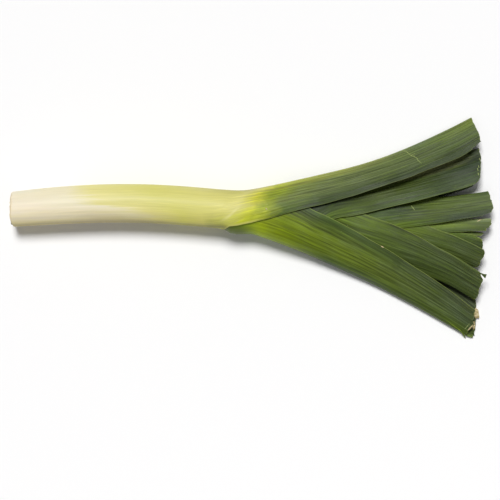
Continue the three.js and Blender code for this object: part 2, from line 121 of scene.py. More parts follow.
TIP_END = {
    1: [(-1, 186.1), (-0.9, 186.95), (-0.8, 190.35), (-0.7, 190.78), (-0.4, 187.8), (0, 187.38), (0.4, 188.65), (0.605, 190.69), (0.78, 192.9), (0.854, 193.58), (0.925, 193.67), (0.955, 194.6), (0.97, 190.78), (0.982, 187.38), (1, 187.38)],
    2: [(-1, 191.63), (-0.85, 192.48), (-0.75, 192.05), (-0.6, 191.63), (-0.5, 191.2), (-0.35, 189.5), (-0.2, 189.08), (0, 181.43), (0.415, 184.57), (0.6, 187.38), (0.71, 189.5), (0.77, 187.8), (0.846, 189.08), (0.875, 188.48), (1, 189.84)],
    3: [(-1, 189.08), (-0.8, 194.18), (-0.5, 193.33), (-0.2, 193.75), (0, 193.33), (0.32, 194.18), (0.47, 194.86), (0.568, 195.28), (0.6, 194.77), (0.668, 195.03), (0.724, 194.35), (0.785, 194.77), (0.87, 194.18), (0.935, 194.01), (0.975, 192.05), (1, 189.08)],
    4: [(-1, 193.33), (-0.8, 194.18), (-0.5, 192.48), (-0.2, 189.93), (0, 189.5), (0.2, 190.44), (0.4, 192.14), (0.595, 193.16), (0.67, 193.41), (0.805, 195.03), (0.894, 196.56), (0.94, 194.69), (1, 193.84)],
    5: [(-1, 195.88), (-0.9, 201.83), (-0.6, 203.1), (-0.3, 201.83), (0, 201.4), (0.41, 202.93), (0.583, 202.85), (0.61, 204.04), (0.77, 205.06), (0.858, 205.06), (0.914, 203.78), (0.95, 203.02), (0.975, 197.58), (1, 195.03)],
    6: [(-1, 195.03), (-0.7, 195.88), (-0.3, 192.48), (0, 188.65), (0.215, 191.63), (0.43, 193.75), (0.63, 194.18), (0.79, 196.73), (0.91, 197.58), (1, 196.73)],
    7: [(-1, 199.28), (-0.6, 202.68), (0, 203.1), (0.354, 204.29), (0.527, 203.53), (0.635, 204.38), (0.742, 202.93), (0.858, 201.4), (0.889, 199.11), (1, 198.85)],
    8: [(-1, 194.18), (-0.5, 195.03), (0, 192.48), (0.4, 195.03), (0.75, 196.73), (1, 195.88)],
    9: [(-1, 195.03), (0, 195.88), (0.5, 197.15), (1, 195.03)],
}

PITCH = 1.65
SHEATH_WALL, BLADE_WALL, LAYER_GAP, FAN_GAP = 1.3, 0.7, 0.35, 0.2
ROOT_X, INNER_START = STATION[0], 3.85
DROOP, DROOP_FROM, DROOP_TO = 0.95, -16.6, 109.2
LIGULE = {1: -25.12, 2: 10.58, 3: 22.48, 4: 41.18, 5: 62.43, 6: 83.68, 7: 104.93, 8: 126.18, 9: 147.43}
CENTRE_Y = -19.04  # the middle of the view
FAR_HALF = {1: 0.97, 2: 1.19, 3: 1.03, 4: 0.96, 5: 0.92, 6: 0.97, 7: 0.94, 8: 0.95, 9: 0.9}
UNIT = 0.85  # mm per along unit of the colour ramps, which start at the root end
X_OF_ZERO = ROOT_X - 10.5 * UNIT


def pchip(xs, ys):
    xs, ys = np.asarray(xs, float), np.asarray(ys, float)
    h = np.diff(xs)
    d = np.diff(ys) / h
    m = np.zeros_like(ys)
    m[0], m[-1] = d[0], d[-1]
    w1, w2 = 2 * h[1:] + h[:-1], h[1:] + 2 * h[:-1]
    ok = d[:-1] * d[1:] > 0
    a, b = np.where(ok, d[:-1], 1.0), np.where(ok, d[1:], 1.0)
    m[1:-1] = np.where(ok, (w1 + w2) / (w1 / a + w2 / b), 0.0)

    def f(x):
        x = np.clip(np.asarray(x, float), xs[0], xs[-1])
        i = np.clip(np.searchsorted(xs, x, side="left") - 1, 0, len(xs) - 2)
        t = (x - xs[i]) / h[i]
        t2, t3 = t * t, t * t * t
        return (
            (2 * t3 - 3 * t2 + 1) * ys[i]
            + (t3 - 2 * t2 + t) * m[i] * h[i]
            + (3 * t2 - 2 * t3) * ys[i + 1]
            + (t3 - t2) * m[i + 1] * h[i]
        )

    return f


GRID = np.arange(STATION[0] - 12, STATION[-1] + 12, 0.5)


def smoothed(xs, ys, sigma=3.0):
    """A guide line with its small kinks rounded off."""
    f = pchip(xs, ys)
    g = f(GRID)
    n = int(4 * sigma / 0.5)
    k = np.exp(-0.5 * (np.arange(-n, n + 1) * 0.5 / sigma) ** 2)
    k /= k.sum()
    p = np.concatenate([np.full(n, g[0]), g, np.full(n, g[-1])])
    g = np.convolve(p, k, mode="valid")
    return lambda x: np.interp(x, GRID, g)


KEEL_AT = {k: smoothed(STATION, KEEL[k], 2.2) for k in KEEL}
HALF_AT = smoothed(STATION, HALF_HEIGHT, 3.0)
PITCH_Z_AT = smoothed(STATION, LAYER_PITCH_Z, 6.0)
MARGIN_AT = {k: pchip([p[0] for p in v], [p[1] for p in v]) for k, v in MARGIN_ANGLE.items()}


def sstep(a, b, x):
    t = np.clip((np.asarray(x, float) - a) / (b - a), 0, 1)
    return t * t * (3 - 2 * t)


def half_height(k, x):
    return HALF_AT(x) - (k - 1) * PITCH_Z_AT(x)


def oval(k, x):
    side = 1.0 if k % 2 else -1.0
    a = KEEL_AT[k](x)
    b = KEEL_AT[k + 1](x) - side * PITCH
    return side, (a + b) / 2, np.abs(a - b) / 2, half_height(k, x)


def waves(seed, n, lo, hi, power=1.0):
    """A smooth field of x and y from a few sine waves, wavelengths lo to hi in mm, about -1 to 1."""
    r = np.random.RandomState(seed)
    lam = np.exp(r.uniform(math.log(lo), math.log(hi), n))
    ang = r.uniform(0, 2 * math.pi, n)
    ph = r.uniform(0, 2 * math.pi, n)
    amp = (lam / hi) ** power
    amp /= np.sqrt((amp**2).sum() / 2)

    def f(x, y):
        out = 0
        for L, a, p, q in zip(lam, ang, ph, amp):
            out = out + q * np.sin(2 * math.pi * (x * math.cos(a) + y * math.sin(a)) / L + p)
        return out / 1.6

    return f


SWELL = waves(11, 9, 26, 90)


def settle(x, y, z):
    """Lays the fan down on the surface: one vertical map for all leaves, so they stay nested."""
    q = DROOP * sstep(DROOP_FROM, DROOP_TO, x)
    _, m, w, h = oval(1, x)
    v2 = np.clip(np.abs((y - m) / w), 0, 1) ** 2
    z = z - q * h * (v2 / 2 + v2**2 / 8 + v2**3 / 16 + 0.1 * v2**4)
    lift = np.clip(z / 14.0, 0, 1.4)
    return z + SWELL_MM * SWELL(x, y) * lift * sstep(-20, 60, x)


SWELL_MM = 0.55

# near margins of the outer leaves, as the (x, y) they run through: the leaves below sink away
# under them, and the margin itself stands a little off
FREE_MARGIN = {
    1: [(41.2, 15.2), (83.7, 26.0), (126.2, 40.5), (168.7, 56.4), (187.4, 66.1)],
    2: [(50.5, 15.8), (83.7, -0.8), (126.2, -25.7), (168.7, -53.9), (190.0, -70.5)],
    3: [(69.2, 7.3), (109.2, 15.0), (151.7, 25.7), (188.2, 36.4)],
    4: [(94.7, 12.0), (126.2, -0.3), (160.2, -18.2), (194.2, -38.0)],
    5: [(127.9, -0.3), (151.7, 2.6), (194.2, 9.9)],
}
SINK = {1: (4.2, 10.0, 60, 120), 2: (3.0, 8.5, 100, 160), 3: (2.8, 8.0, 110, 160), 4: (1.6, 6.0, 140, 180), 5: (1.4, 5.5, 145, 185)}
LIFT = {1: (2.4, 55, 130), 2: (1.2, 110, 180), 3: (1.4, 100, 170), 4: (1.0, 130, 185), 5: (1.2, 140, 190), 6: (0.8, 150, 190), 7: (0.8, 160, 195)}


def sink(k, x, y, z, zc):
    """How far leaf k lies below its nested place, under the free margins of the leaves outside it."""
    d = np.zeros_like(x)
    for j, pts in FREE_MARGIN.items():
        if k < j + 2 and not (j == 2 and k == 3):
            continue
        amp, wide, x0, x1 = SINK[j]
        line = np.interp(x, [p[0] for p in pts], [p[1] for p in pts])
        d += amp * np.exp(-(((y - line) / wide) ** 2)) * sstep(x0, x1, x)
    return d * sstep(-1.0, 5.0, z - zc)


def wall(k, x):
    t = SHEATH_WALL + (BLADE_WALL - SHEATH_WALL) * sstep(LIGULE[k] - 48, LIGULE[k] - 6, x)
    return np.minimum(t, PITCH_Z_AT(x) - LAYER_GAP - FAN_GAP * sstep(LIGULE[1], LIGULE[2], x))


def section_fractions(k, x, angle, n):
    """Angles that cut the arc from the keel to the margin into n equal lengths, as fractions of the angle."""
    _, _, w, h = oval(k, x)
    t = np.linspace(0, 1, 97)
    a = t * angle
    ds = np.hypot(w * np.sin(a), h * np.cos(a))
    s = np.concatenate([[0], np.cumsum((ds[1:] + ds[:-1]) / 2 * np.diff(a))])
    return np.interp(np.linspace(0, s[-1], n + 1), s, t), s[-1]


def new_mesh(name, verts, faces, uvs=None, attrs=None, material_index=None):
    """verts (n,3) in mm, faces list of (m,k) index arrays, uvs list of (m,k,2) arrays."""
    me = bpy.data.meshes.new(name)
    verts = np.array(verts, float)
    # the root end was trimmed a little shorter than the modelled length
    verts[:, 0] += 1.6 * (1 - sstep(ROOT_X + 2, ROOT_X + 34, verts[:, 0]))
    verts /= 1000.0
    loops = np.concatenate([f.ravel() for f in faces]).astype(np.int32)
    sizes = np.concatenate([np.full(len(f), f.shape[1], np.int32) for f in faces])
    starts = np.concatenate([[0], np.cumsum(sizes)[:-1]]).astype(np.int32)
    me.vertices.add(len(verts))
    me.vertices.foreach_set("co", verts.ravel().astype(np.float32))
    me.loops.add(len(loops))
    me.loops.foreach_set("vertex_index", loops)
    me.polygons.add(len(sizes))
    me.polygons.foreach_set("loop_start", starts)
    if material_index is not None:
        me.polygons.foreach_set("material_index", np.asarray(material_index, np.int32))
    me.update(calc_edges=True)
    if uvs is not None:
        layer = me.uv_layers.new(name="OFBake")
        flat = np.concatenate([u.reshape(-1, 2) for u in uvs]).astype(np.float32)
        layer.data.foreach_set("uv", flat.ravel())
    for key, values in (attrs or {}).items():
        values = np.asarray(values, np.float32)
        if values.ndim == 1:
            me.attributes.new(key, "FLOAT", "POINT").data.foreach_set("value", values)
        else:
            me.attributes.new(key, "FLOAT_VECTOR", "POINT").data.foreach_set("vector", values.ravel())
    me.polygons.foreach_set("use_smooth", np.ones(len(sizes), bool))
    me.set_sharp_from_angle(angle=math.radians(48))
    me.update()
    ob = bpy.data.objects.new(name, me)
    bpy.context.scene.collection.objects.link(ob)
    return ob


# ---------------------------------------------------------------- leaves
# How rough each cut end is: the scale, in mm, of the jagged extra length across the tip.
ROUGH_CUT = {1: 0.28, 2: 0.35, 3: 0.38, 4: 0.32, 5: 0.42, 6: 0.35, 7: 0.45, 8: 0.4, 9: 0.35}
COLS = {1: 62, 2: 56, 3: 44, 4: 44, 5: 36, 6: 34, 7: 28, 8: 24, 9: 20}
ACROSS = 45.0  # nominal width of half a leaf, which the veins are spaced by


def stations(k, start, end):
    lig = LIGULE[k]
    xs = []
    x = start
    while x < end - 0.3:
        xs.append(x)
        if k == 1:
            step = 0.35 if x < start + 2 else (2.2 if x < -42 else (0.8 if x < 12 else 1.25))
        elif x < lig - 16:
            step = 1.0 if x < start + 2 else 9.0
            if k == 2:
                step = min(step, 5.0)
        elif x < lig + 14:
            step = 0.9
        else:
            step = 1.25
        if k == 1 and abs(x - lig) < 4:
            step = 0.5
        x += step
    xs = np.array(xs + [end])
    i = int(np.argmin(np.abs(xs - lig)))
    xs[i] = lig
    return xs, i


def leaf_mesh(k, name):
    side = 1.0 if k % 2 else -1.0
    heart = k == 9
    start = ROOT_X if k <= 2 else ROOT_X + INNER_START
    tipc = np.array([p[0] for p in TIP_END[k]])
    tipx = np.array([p[1] for p in TIP_END[k]])
    end = float(tipx.max())
    xs, il = stations(k, start, end)
    n, M = len(xs), COLS[k]
    rng = np.random.RandomState(100 + k)
    blend_from = end - (26 if k < 6 else 20)
    blend_from = max(blend_from, LIGULE[k] + 6)

    # angles and positions of the columns
    frac = np.zeros((n, 2 * M + 1))
    width = np.zeros((n, 2))
    wob = [waves(500 + k, 5, 18, 70), waves(600 + k, 5, 18, 70)]
    far_end = float(tipx[0])

    def angles_at(x, is_near):
        a = np.where(x <= LIGULE[k] + 1e-6, 180.0, MARGIN_AT[k](x))
        if not is_near:
            a = a * (1 + (FAR_HALF[k] - 1) * sstep(LIGULE[k], far_end, x))
        _, _, w, h = oval(k, x)
        loc = np.maximum(np.hypot(w * np.sin(np.radians(a)), h * np.cos(np.radians(a))), 3)
        dev = 0.28 * wob[0 if is_near else 1](x, 0 * x) * sstep(LIGULE[k] + 10, LIGULE[k] + 40, x)
        return np.radians(a) + dev / loc

    for i in range(n):
        for h_ in (0, 1):
            f, s = section_fractions(k, xs[i], float(angles_at(xs[i : i + 1], h_ == 0)[0]), M)
            width[i, h_] = s
            if h_ == 0:
                frac[i, M:] = f
            else:
                frac[i, : M + 1] = -f[::-1]
    col = np.arange(-M, M + 1) / M
    tip_f = frac[-1]
    jag = np.zeros(2 * M + 1)
    for lam, amp in ((0.9, 0.5), (0.35, 0.35), (0.12, 0.3)):
        jag += amp * np.interp(np.arange(2 * M + 1) / M, np.arange(0, 2.2, lam / 4), rng.uniform(-1, 1, len(np.arange(0, 2.2, lam / 4))))
    xt = np.interp(tip_f, tipc, tipx) + ROUGH_CUT[k] * 1.6 * jag
    X = np.repeat(xs[:, None], 2 * M + 1, 1)
    s = np.clip((X - blend_from) / (end - blend_from), 0, 1)
    X = np.where(X > blend_from, blend_from + s * (xt[None, :] - blend_from), X)
    A = np.zeros_like(X)
    A[:, M:] = frac[:, M:] * angles_at(X[:, M:], True)
    A[:, : M + 1] = frac[:, : M + 1] * angles_at(X[:, : M + 1], False)
    sd, m, w, h = oval(k, X)
    open_ = (X > LIGULE[k] + 1e-6).astype(float)

    # distances, in mm, along the section
    W = np.where(col[None, :] >= 0, width[:, :1], width[:, 1:])
    across_mm = np.abs(col)[None, :] * W
    to_margin = np.where(np.repeat(xs[:, None], 2 * M + 1, 1) <= LIGULE[k] + 1e-6, 60.0, (1 - np.abs(col))[None, :] * W)
    to_tip = xt[None, :] - X

    # outer surface: ribs along the leaf and a keel ridge that grows from the neck on
    cc = col[None, :] * ACROSS
    slow = waves(700 + k, 4, 60, 160)
    rib = np.zeros_like(X)
    for lam, amp in ((5.6, 0.060), (3.3, 0.065), (2.1, 0.045)):
        if 2 * ACROSS / lam > 0.8 * M:
            continue
        ph = rng.uniform(0, 6.28)
        rib += amp * np.sin(2 * math.pi * cc / lam + ph + 1.1 * slow(X, cc * 3))
    rib *= sstep(0.5, 5, to_margin) * (0.45 + 0.55 * sstep(-40, 30, X))
    ridge = 0.30 * np.exp(-((across_mm / 1.5) ** 2)) * sstep(LIGULE[k] - 10, LIGULE[k] + 50, X)
    out = rib * 0.8 - 0.06
    ca, sa = np.cos(A), np.sin(A)
    nx, nz = h * ca, w * sa
    nn = np.maximum(np.hypot(nx, nz), 1e-6)
    nx, nz = nx / nn, nz / nn
    t = wall(k, X)
    t = t * (1 - open_ * 0.62 * (1 - sstep(0, 4.5, to_margin)))
    t = t * (1 - open_ * 0.25 * (1 - sstep(0, 3.0, to_tip)))
    edge_round = np.zeros_like(X)
    if k == 1:
        edge_round = 1.1 * (1 - np.sqrt(np.clip(1 - (1 - np.clip((X - ROOT_X) / 1.3, 0, 1)) ** 2, 0, 1)))
    yo = w * ca + nx * (out - edge_round)
    zo = h * sa + nz * (out - edge_round)
    yi = w * ca - nx * (t - 0.5 * ridge)
    zi = h * sa - nz * (t - 0.5 * ridge)
    zc = HALF_AT(X) + 0.0
    O = np.stack([X, m + sd * yo, zc + zo], -1)
    I = np.stack([X, m + sd * yi, zc + zi], -1)
    mid_y, mid_z = (O[..., 1] + I[..., 1]) / 2, (O[..., 2] + I[..., 2]) / 2
    drop = sink(k, X, mid_y, mid_z, zc)
    if k in LIFT:
        amp, x0, x1 = LIFT[k]
        drop -= amp * sstep(x0, x1, X) * sstep(0.45, 1.0, np.maximum(col, 0))[None, :] ** 1.4
    O[..., 2] -= drop
    I[..., 2] -= drop
    O[..., 2] = settle(X, O[..., 1], O[..., 2])
    I[..., 2] = settle(X, I[..., 1], I[..., 2])
    if k == 2:
        # the bulge of the second leaf's sheath under the fork
        bulge = 1.3 * np.exp(-(((X + 13.0) / 11.0) ** 4)) * np.exp(-((A / 0.75) ** 2))
        O[..., 1] -= bulge
        I[..., 1] -= bulge
    if k <= 2:
        # the cut root face is not quite flat
        r = np.clip(1 - (X - ROOT_X) / 2.5, 0, 1)
        bump = 0.25 * np.sin(5 * A + 1.3 * k) + 0.18 * np.sin(11 * A + k)
        bump = bump + 1.6 * np.exp(-(((np.abs(A) - math.pi) / 0.45) ** 2))
        O[..., 0] += r * bump
        I[..., 0] += r * bump

    # the veins fan out smoothly past the ligule
    g_ = np.arange(ROOT_X - 60, STATION[-1] + 60, 0.5)
    ga = np.where(g_ <= LIGULE[k], 180.0, np.minimum(MARGIN_AT[k](np.clip(g_, STATION[0], STATION[-1])), 180.0))
    win = np.exp(-0.5 * (np.arange(-60, 61) * 0.5 / 10.0) ** 2)
    gs = np.convolve(np.pad(ga, 60, mode="edge"), win / win.sum(), mode="valid")
    ease = (np.interp(xs, g_, ga) / np.interp(xs, g_, gs))[:, None]

    # vertices: rows up to the ligule share their first and last column
    C = 2 * M + 1
    verts, grow, edge, count = [], [], [], 0
    oid, iid = np.zeros((n, C), int), np.full((n, C), -1)
    along = (X - X_OF_ZERO) / UNIT / 500.0

    def extra(points, g, e):
        nonlocal count
        ids = np.arange(count, count + len(points))
        verts.append(points)
        grow.append(g)
        edge.append(e)
        count += len(points)
        return ids

    full = np.stack([along, cc * ease + 0 * along, across_mm], -1)
    for points, ids, flag in ((O, oid, 0.0), (I, iid, 1.0)):
        for i in range(n):
            if flag and heart and i < il:
                continue
            last = C - 1 if i <= il else C
            e = np.stack([to_margin[i], to_tip[i], np.full(C, flag)], -1)
            ids[i, :last] = extra(points[i, :last], full[i, :last], e[:last])
            if last < C:
                ids[i, C - 1] = ids[i, 0]

    # a rounded line between the two faces along each margin, the cut tip and the root
    mids = {}
    for c_, tag in ((0, "far"), (C - 1, "near")):
        c_in = 1 if c_ == 0 else C - 2
        rows = slice(il if tag == "far" else il + 1, n)
        o_, i_ = O[rows, c_], I[rows, c_]
        d = o_ - O[rows, c_in]
        d /= np.maximum(np.linalg.norm(d, axis=1, keepdims=True), 1e-6)
        th = np.linalg.norm(o_ - i_, axis=1, keepdims=True)
        mid = (o_ + i_) / 2 + d * th * 0.35 * sstep(0, 6, X[rows, c_] - LIGULE[k])[:, None]
        e = np.stack([0 * along[rows, c_], to_tip[rows, c_], 0 * along[rows, c_]], -1)
        mids[tag] = extra(mid, full[rows, c_], e)
    mids["near"] = np.concatenate([mids["far"][:1], mids["near"]])  # the slit starts at one point
    mid = (O[-1] + I[-1]) / 2
    mid[:, 0] += 0.1
    e = np.stack([to_margin[-1], 0 * along[-1] - 0.2, 0 * along[-1]], -1)
    tid = extra(mid[1:-1], full[-1, 1:-1], e[1:-1])
    tid = np.concatenate([[mids["far"][-1]], tid, [mids["near"][-1]]])

    faces, uvs = [], []

    def quads(a, b, ua, ub, va, vb, back):
        """Quads [a i, a i+1, b i+1, b i], with their places on the map."""
        q = np.stack([a[:-1], a[1:], b[1:], b[:-1]], -1)
        uv = np.stack(
            [
                np.stack([ua[:-1], va[:-1]], -1),
                np.stack([ua[1:], va[1:]], -1),
                np.stack([ub[1:], vb[1:]], -1),
                np.stack([ub[:-1], vb[:-1]], -1),
            ],
            -2,
        )
        if back:
            q, uv = q[:, ::-1], uv[:, ::-1]
        faces.append(q)
        uvs.append(uv)

    one = np.ones(C)
    u_row = 0.012 + 0.97 * (xs - xs[0]) / (xs[-1] - xs[0])
    for ids, i0, lo, hi, back in ((oid, 0, 0.53, 0.985, True), (iid, il if heart else 0, 0.015, 0.47, False)):
        v = np.linspace(lo, hi, C)
        for i in range(i0, n - 1):
            quads(ids[i], ids[i + 1], u_row[i] * one, u_row[i + 1] * one, v, v, back)
    us = u_row[il:]
    w1 = np.ones(len(us))
    for tag, c_, v0, back in (("far", 0, 0.478, True), ("near", C - 1, 0.500, False)):
        quads(oid[il:, c_], mids[tag], us, us, v0 * w1, (v0 + 0.006) * w1, back)
        quads(mids[tag], iid[il:, c_], us, us, (v0 + 0.008) * w1, (v0 + 0.014) * w1, back)
    v = np.linspace(0.53, 0.985, C)
    quads(oid[-1], tid, 0.985 * one, 0.989 * one, v, v, True)
    quads(tid, iid[-1], 0.991 * one, 0.996 * one, v, v, True)
    tris, tuv = [], []
    if heart:
        for row, flag, back, u in ((oid[0], 0.0, False, 0.004), (iid[il], 1.0, True, 0.008)):
            pts = (O[0] if flag == 0.0 else I[il])[:-1]
            a0 = along[0, 0] if flag == 0.0 else along[il, 0]
            c0 = extra(pts.mean(0)[None], np.array([[a0, 0.0, 0.0]]), np.array([[60.0, 200.0, flag]]))[0]
            a = np.linspace(0, 2 * math.pi, C)
            pl = np.stack([u + 0.0015 * np.cos(a), 0.006 + 0.004 * np.sin(a)], -1)
            tt = np.stack([row[:-1], row[1:], np.full(C - 1, c0)], -1)
            uv = np.stack([pl[:-1], pl[1:], np.broadcast_to([u, 0.006], (C - 1, 2))], -2)
            tris.append(tt[:, ::-1] if back else tt)
            tuv.append(uv[:, ::-1] if back else uv)
    else:
        mid = (O[0] + I[0]) / 2
        mid[:, 0] -= 0.12
        e = np.stack([to_margin[0], to_tip[0], 0 * to_tip[0] + 2], -1)
        rid = extra(mid[:-1], full[0, :-1], e[:-1])
        rid = np.concatenate([rid, rid[:1]])
        quads(oid[0], rid, 0.009 * one, 0.006 * one, v, v, False)
        quads(rid, iid[0], 0.004 * one, 0.001 * one, v, v, False)
    verts = np.concatenate(verts)
    faces = [np.concatenate(faces)] + ([np.concatenate(tris)] if tris else [])
    uvs = [np.concatenate(uvs)] + ([np.concatenate(tuv)] if tris else [])
    # turn every face outward if they were listed the other way round
    vol = 0.0
    for f in faces:
        p0 = verts[f[:, 0]]
        for j in range(1, f.shape[1] - 1):
            vol += np.einsum("ij,ij->i", p0, np.cross(verts[f[:, j]], verts[f[:, j + 1]])).sum()
    if vol < 0:
        faces = [f[:, ::-1] for f in faces]
        uvs = [u[:, ::-1] for u in uvs]
    return new_mesh(name, verts, faces, uvs, {"grow": np.concatenate(grow), "edge": np.concatenate(edge)})


# ---------------------------------------------------------------- materials
def srgb(c, gain=1.0):
    c = np.asarray(c, float) / 255.0
    lin = np.where(c <= 0.04045, c / 12.92, ((c + 0.055) / 1.055) ** 2.4) * gain
    return (*[float(min(v, 0.95)) for v in lin], 1.0)


class Nodes:
    """Short names for building a node tree."""

    def __init__(self, name):
        self.mat = bpy.data.materials.new(name)
        self.mat.use_nodes = True
        self.t = self.mat.node_tree
        self.bsdf = next(n for n in self.t.nodes if n.type == "BSDF_PRINCIPLED")

    def put(self, socket, v):
        if isinstance(v, bpy.types.NodeSocket):
            self.t.links.new(v, socket)
        else:
            socket.default_value = v

    def math(self, op, a, b=None, c=None, clamp=False):
        n = self.t.nodes.new("ShaderNodeMath")
        n.operation, n.use_clamp = op, clamp
        for i, v in enumerate((a, b, c)):
            if v is not None:
                self.put(n.inputs[i], v)
        return n.outputs[0]

    def ramp(self, v, stops, interp="LINEAR"):
        n = self.t.nodes.new("ShaderNodeValToRGB")
        n.color_ramp.interpolation = interp
        e = n.color_ramp.elements
        while len(e) > 1:
            e.remove(e[-1])
        e[0].position, e[0].color = stops[0]
        for p_, c_ in stops[1:]:
            x = e.new(p_)
            x.color = c_
        self.put(n.inputs[0], v)
        return n.outputs[0]

    def map(self, v, a, b, c=0.0, d=1.0, smooth=True):
        n = self.t.nodes.new("ShaderNodeMapRange")
        n.interpolation_type = "SMOOTHSTEP" if smooth else "LINEAR"
        n.clamp = True
        self.put(n.inputs["Value"], v)
        for key, val in (("From Min", a), ("From Max", b), ("To Min", c), ("To Max", d)):
            self.put(n.inputs[key], val)
        return n.outputs["Result"]

    def mix(self, f, a, b, mode="MIX"):
        n = self.t.nodes.new("ShaderNodeMix")
        n.data_type, n.blend_type, n.clamp_factor = "RGBA", mode, True
        self.put(n.inputs[0], f)
        self.put(n.inputs[6], a)
        self.put(n.inputs[7], b)
        return n.outputs[2]

    def attr(self, name):
        n = self.t.nodes.new("ShaderNodeAttribute")
        n.attribute_type, n.attribute_name = "GEOMETRY", name
        s_ = self.t.nodes.new("ShaderNodeSeparateXYZ")
        self.t.links.new(n.outputs["Vector"], s_.inputs[0])
        return s_.outputs

    def vec(self, x, y, z):
        n = self.t.nodes.new("ShaderNodeCombineXYZ")
        for i, v in enumerate((x, y, z)):
            self.put(n.inputs[i], v)
        return n.outputs[0]

    def noise(self, vector, scale=1.0, detail=3.0, rough=0.55, dist=0.0):
        n = self.t.nodes.new("ShaderNodeTexNoise")
        n.noise_dimensions = "3D"
        self.put(n.inputs["Vector"], vector)
        n.inputs["Scale"].default_value = scale
        n.inputs["Detail"].default_value = detail
        n.inputs["Roughness"].default_value = rough
        n.inputs["Distortion"].default_value = dist
        return n.outputs["Fac"]

    def bump(self, height, strength, distance, normal=None):
        n = self.t.nodes.new("ShaderNodeBump")
        n.inputs["Strength"].default_value = strength
        n.inputs["Distance"].default_value = distance
        self.put(n.inputs["Height"], height)
        if normal is not None:
            self.put(n.inputs["Normal"], normal)
        return n.outputs["Normal"]
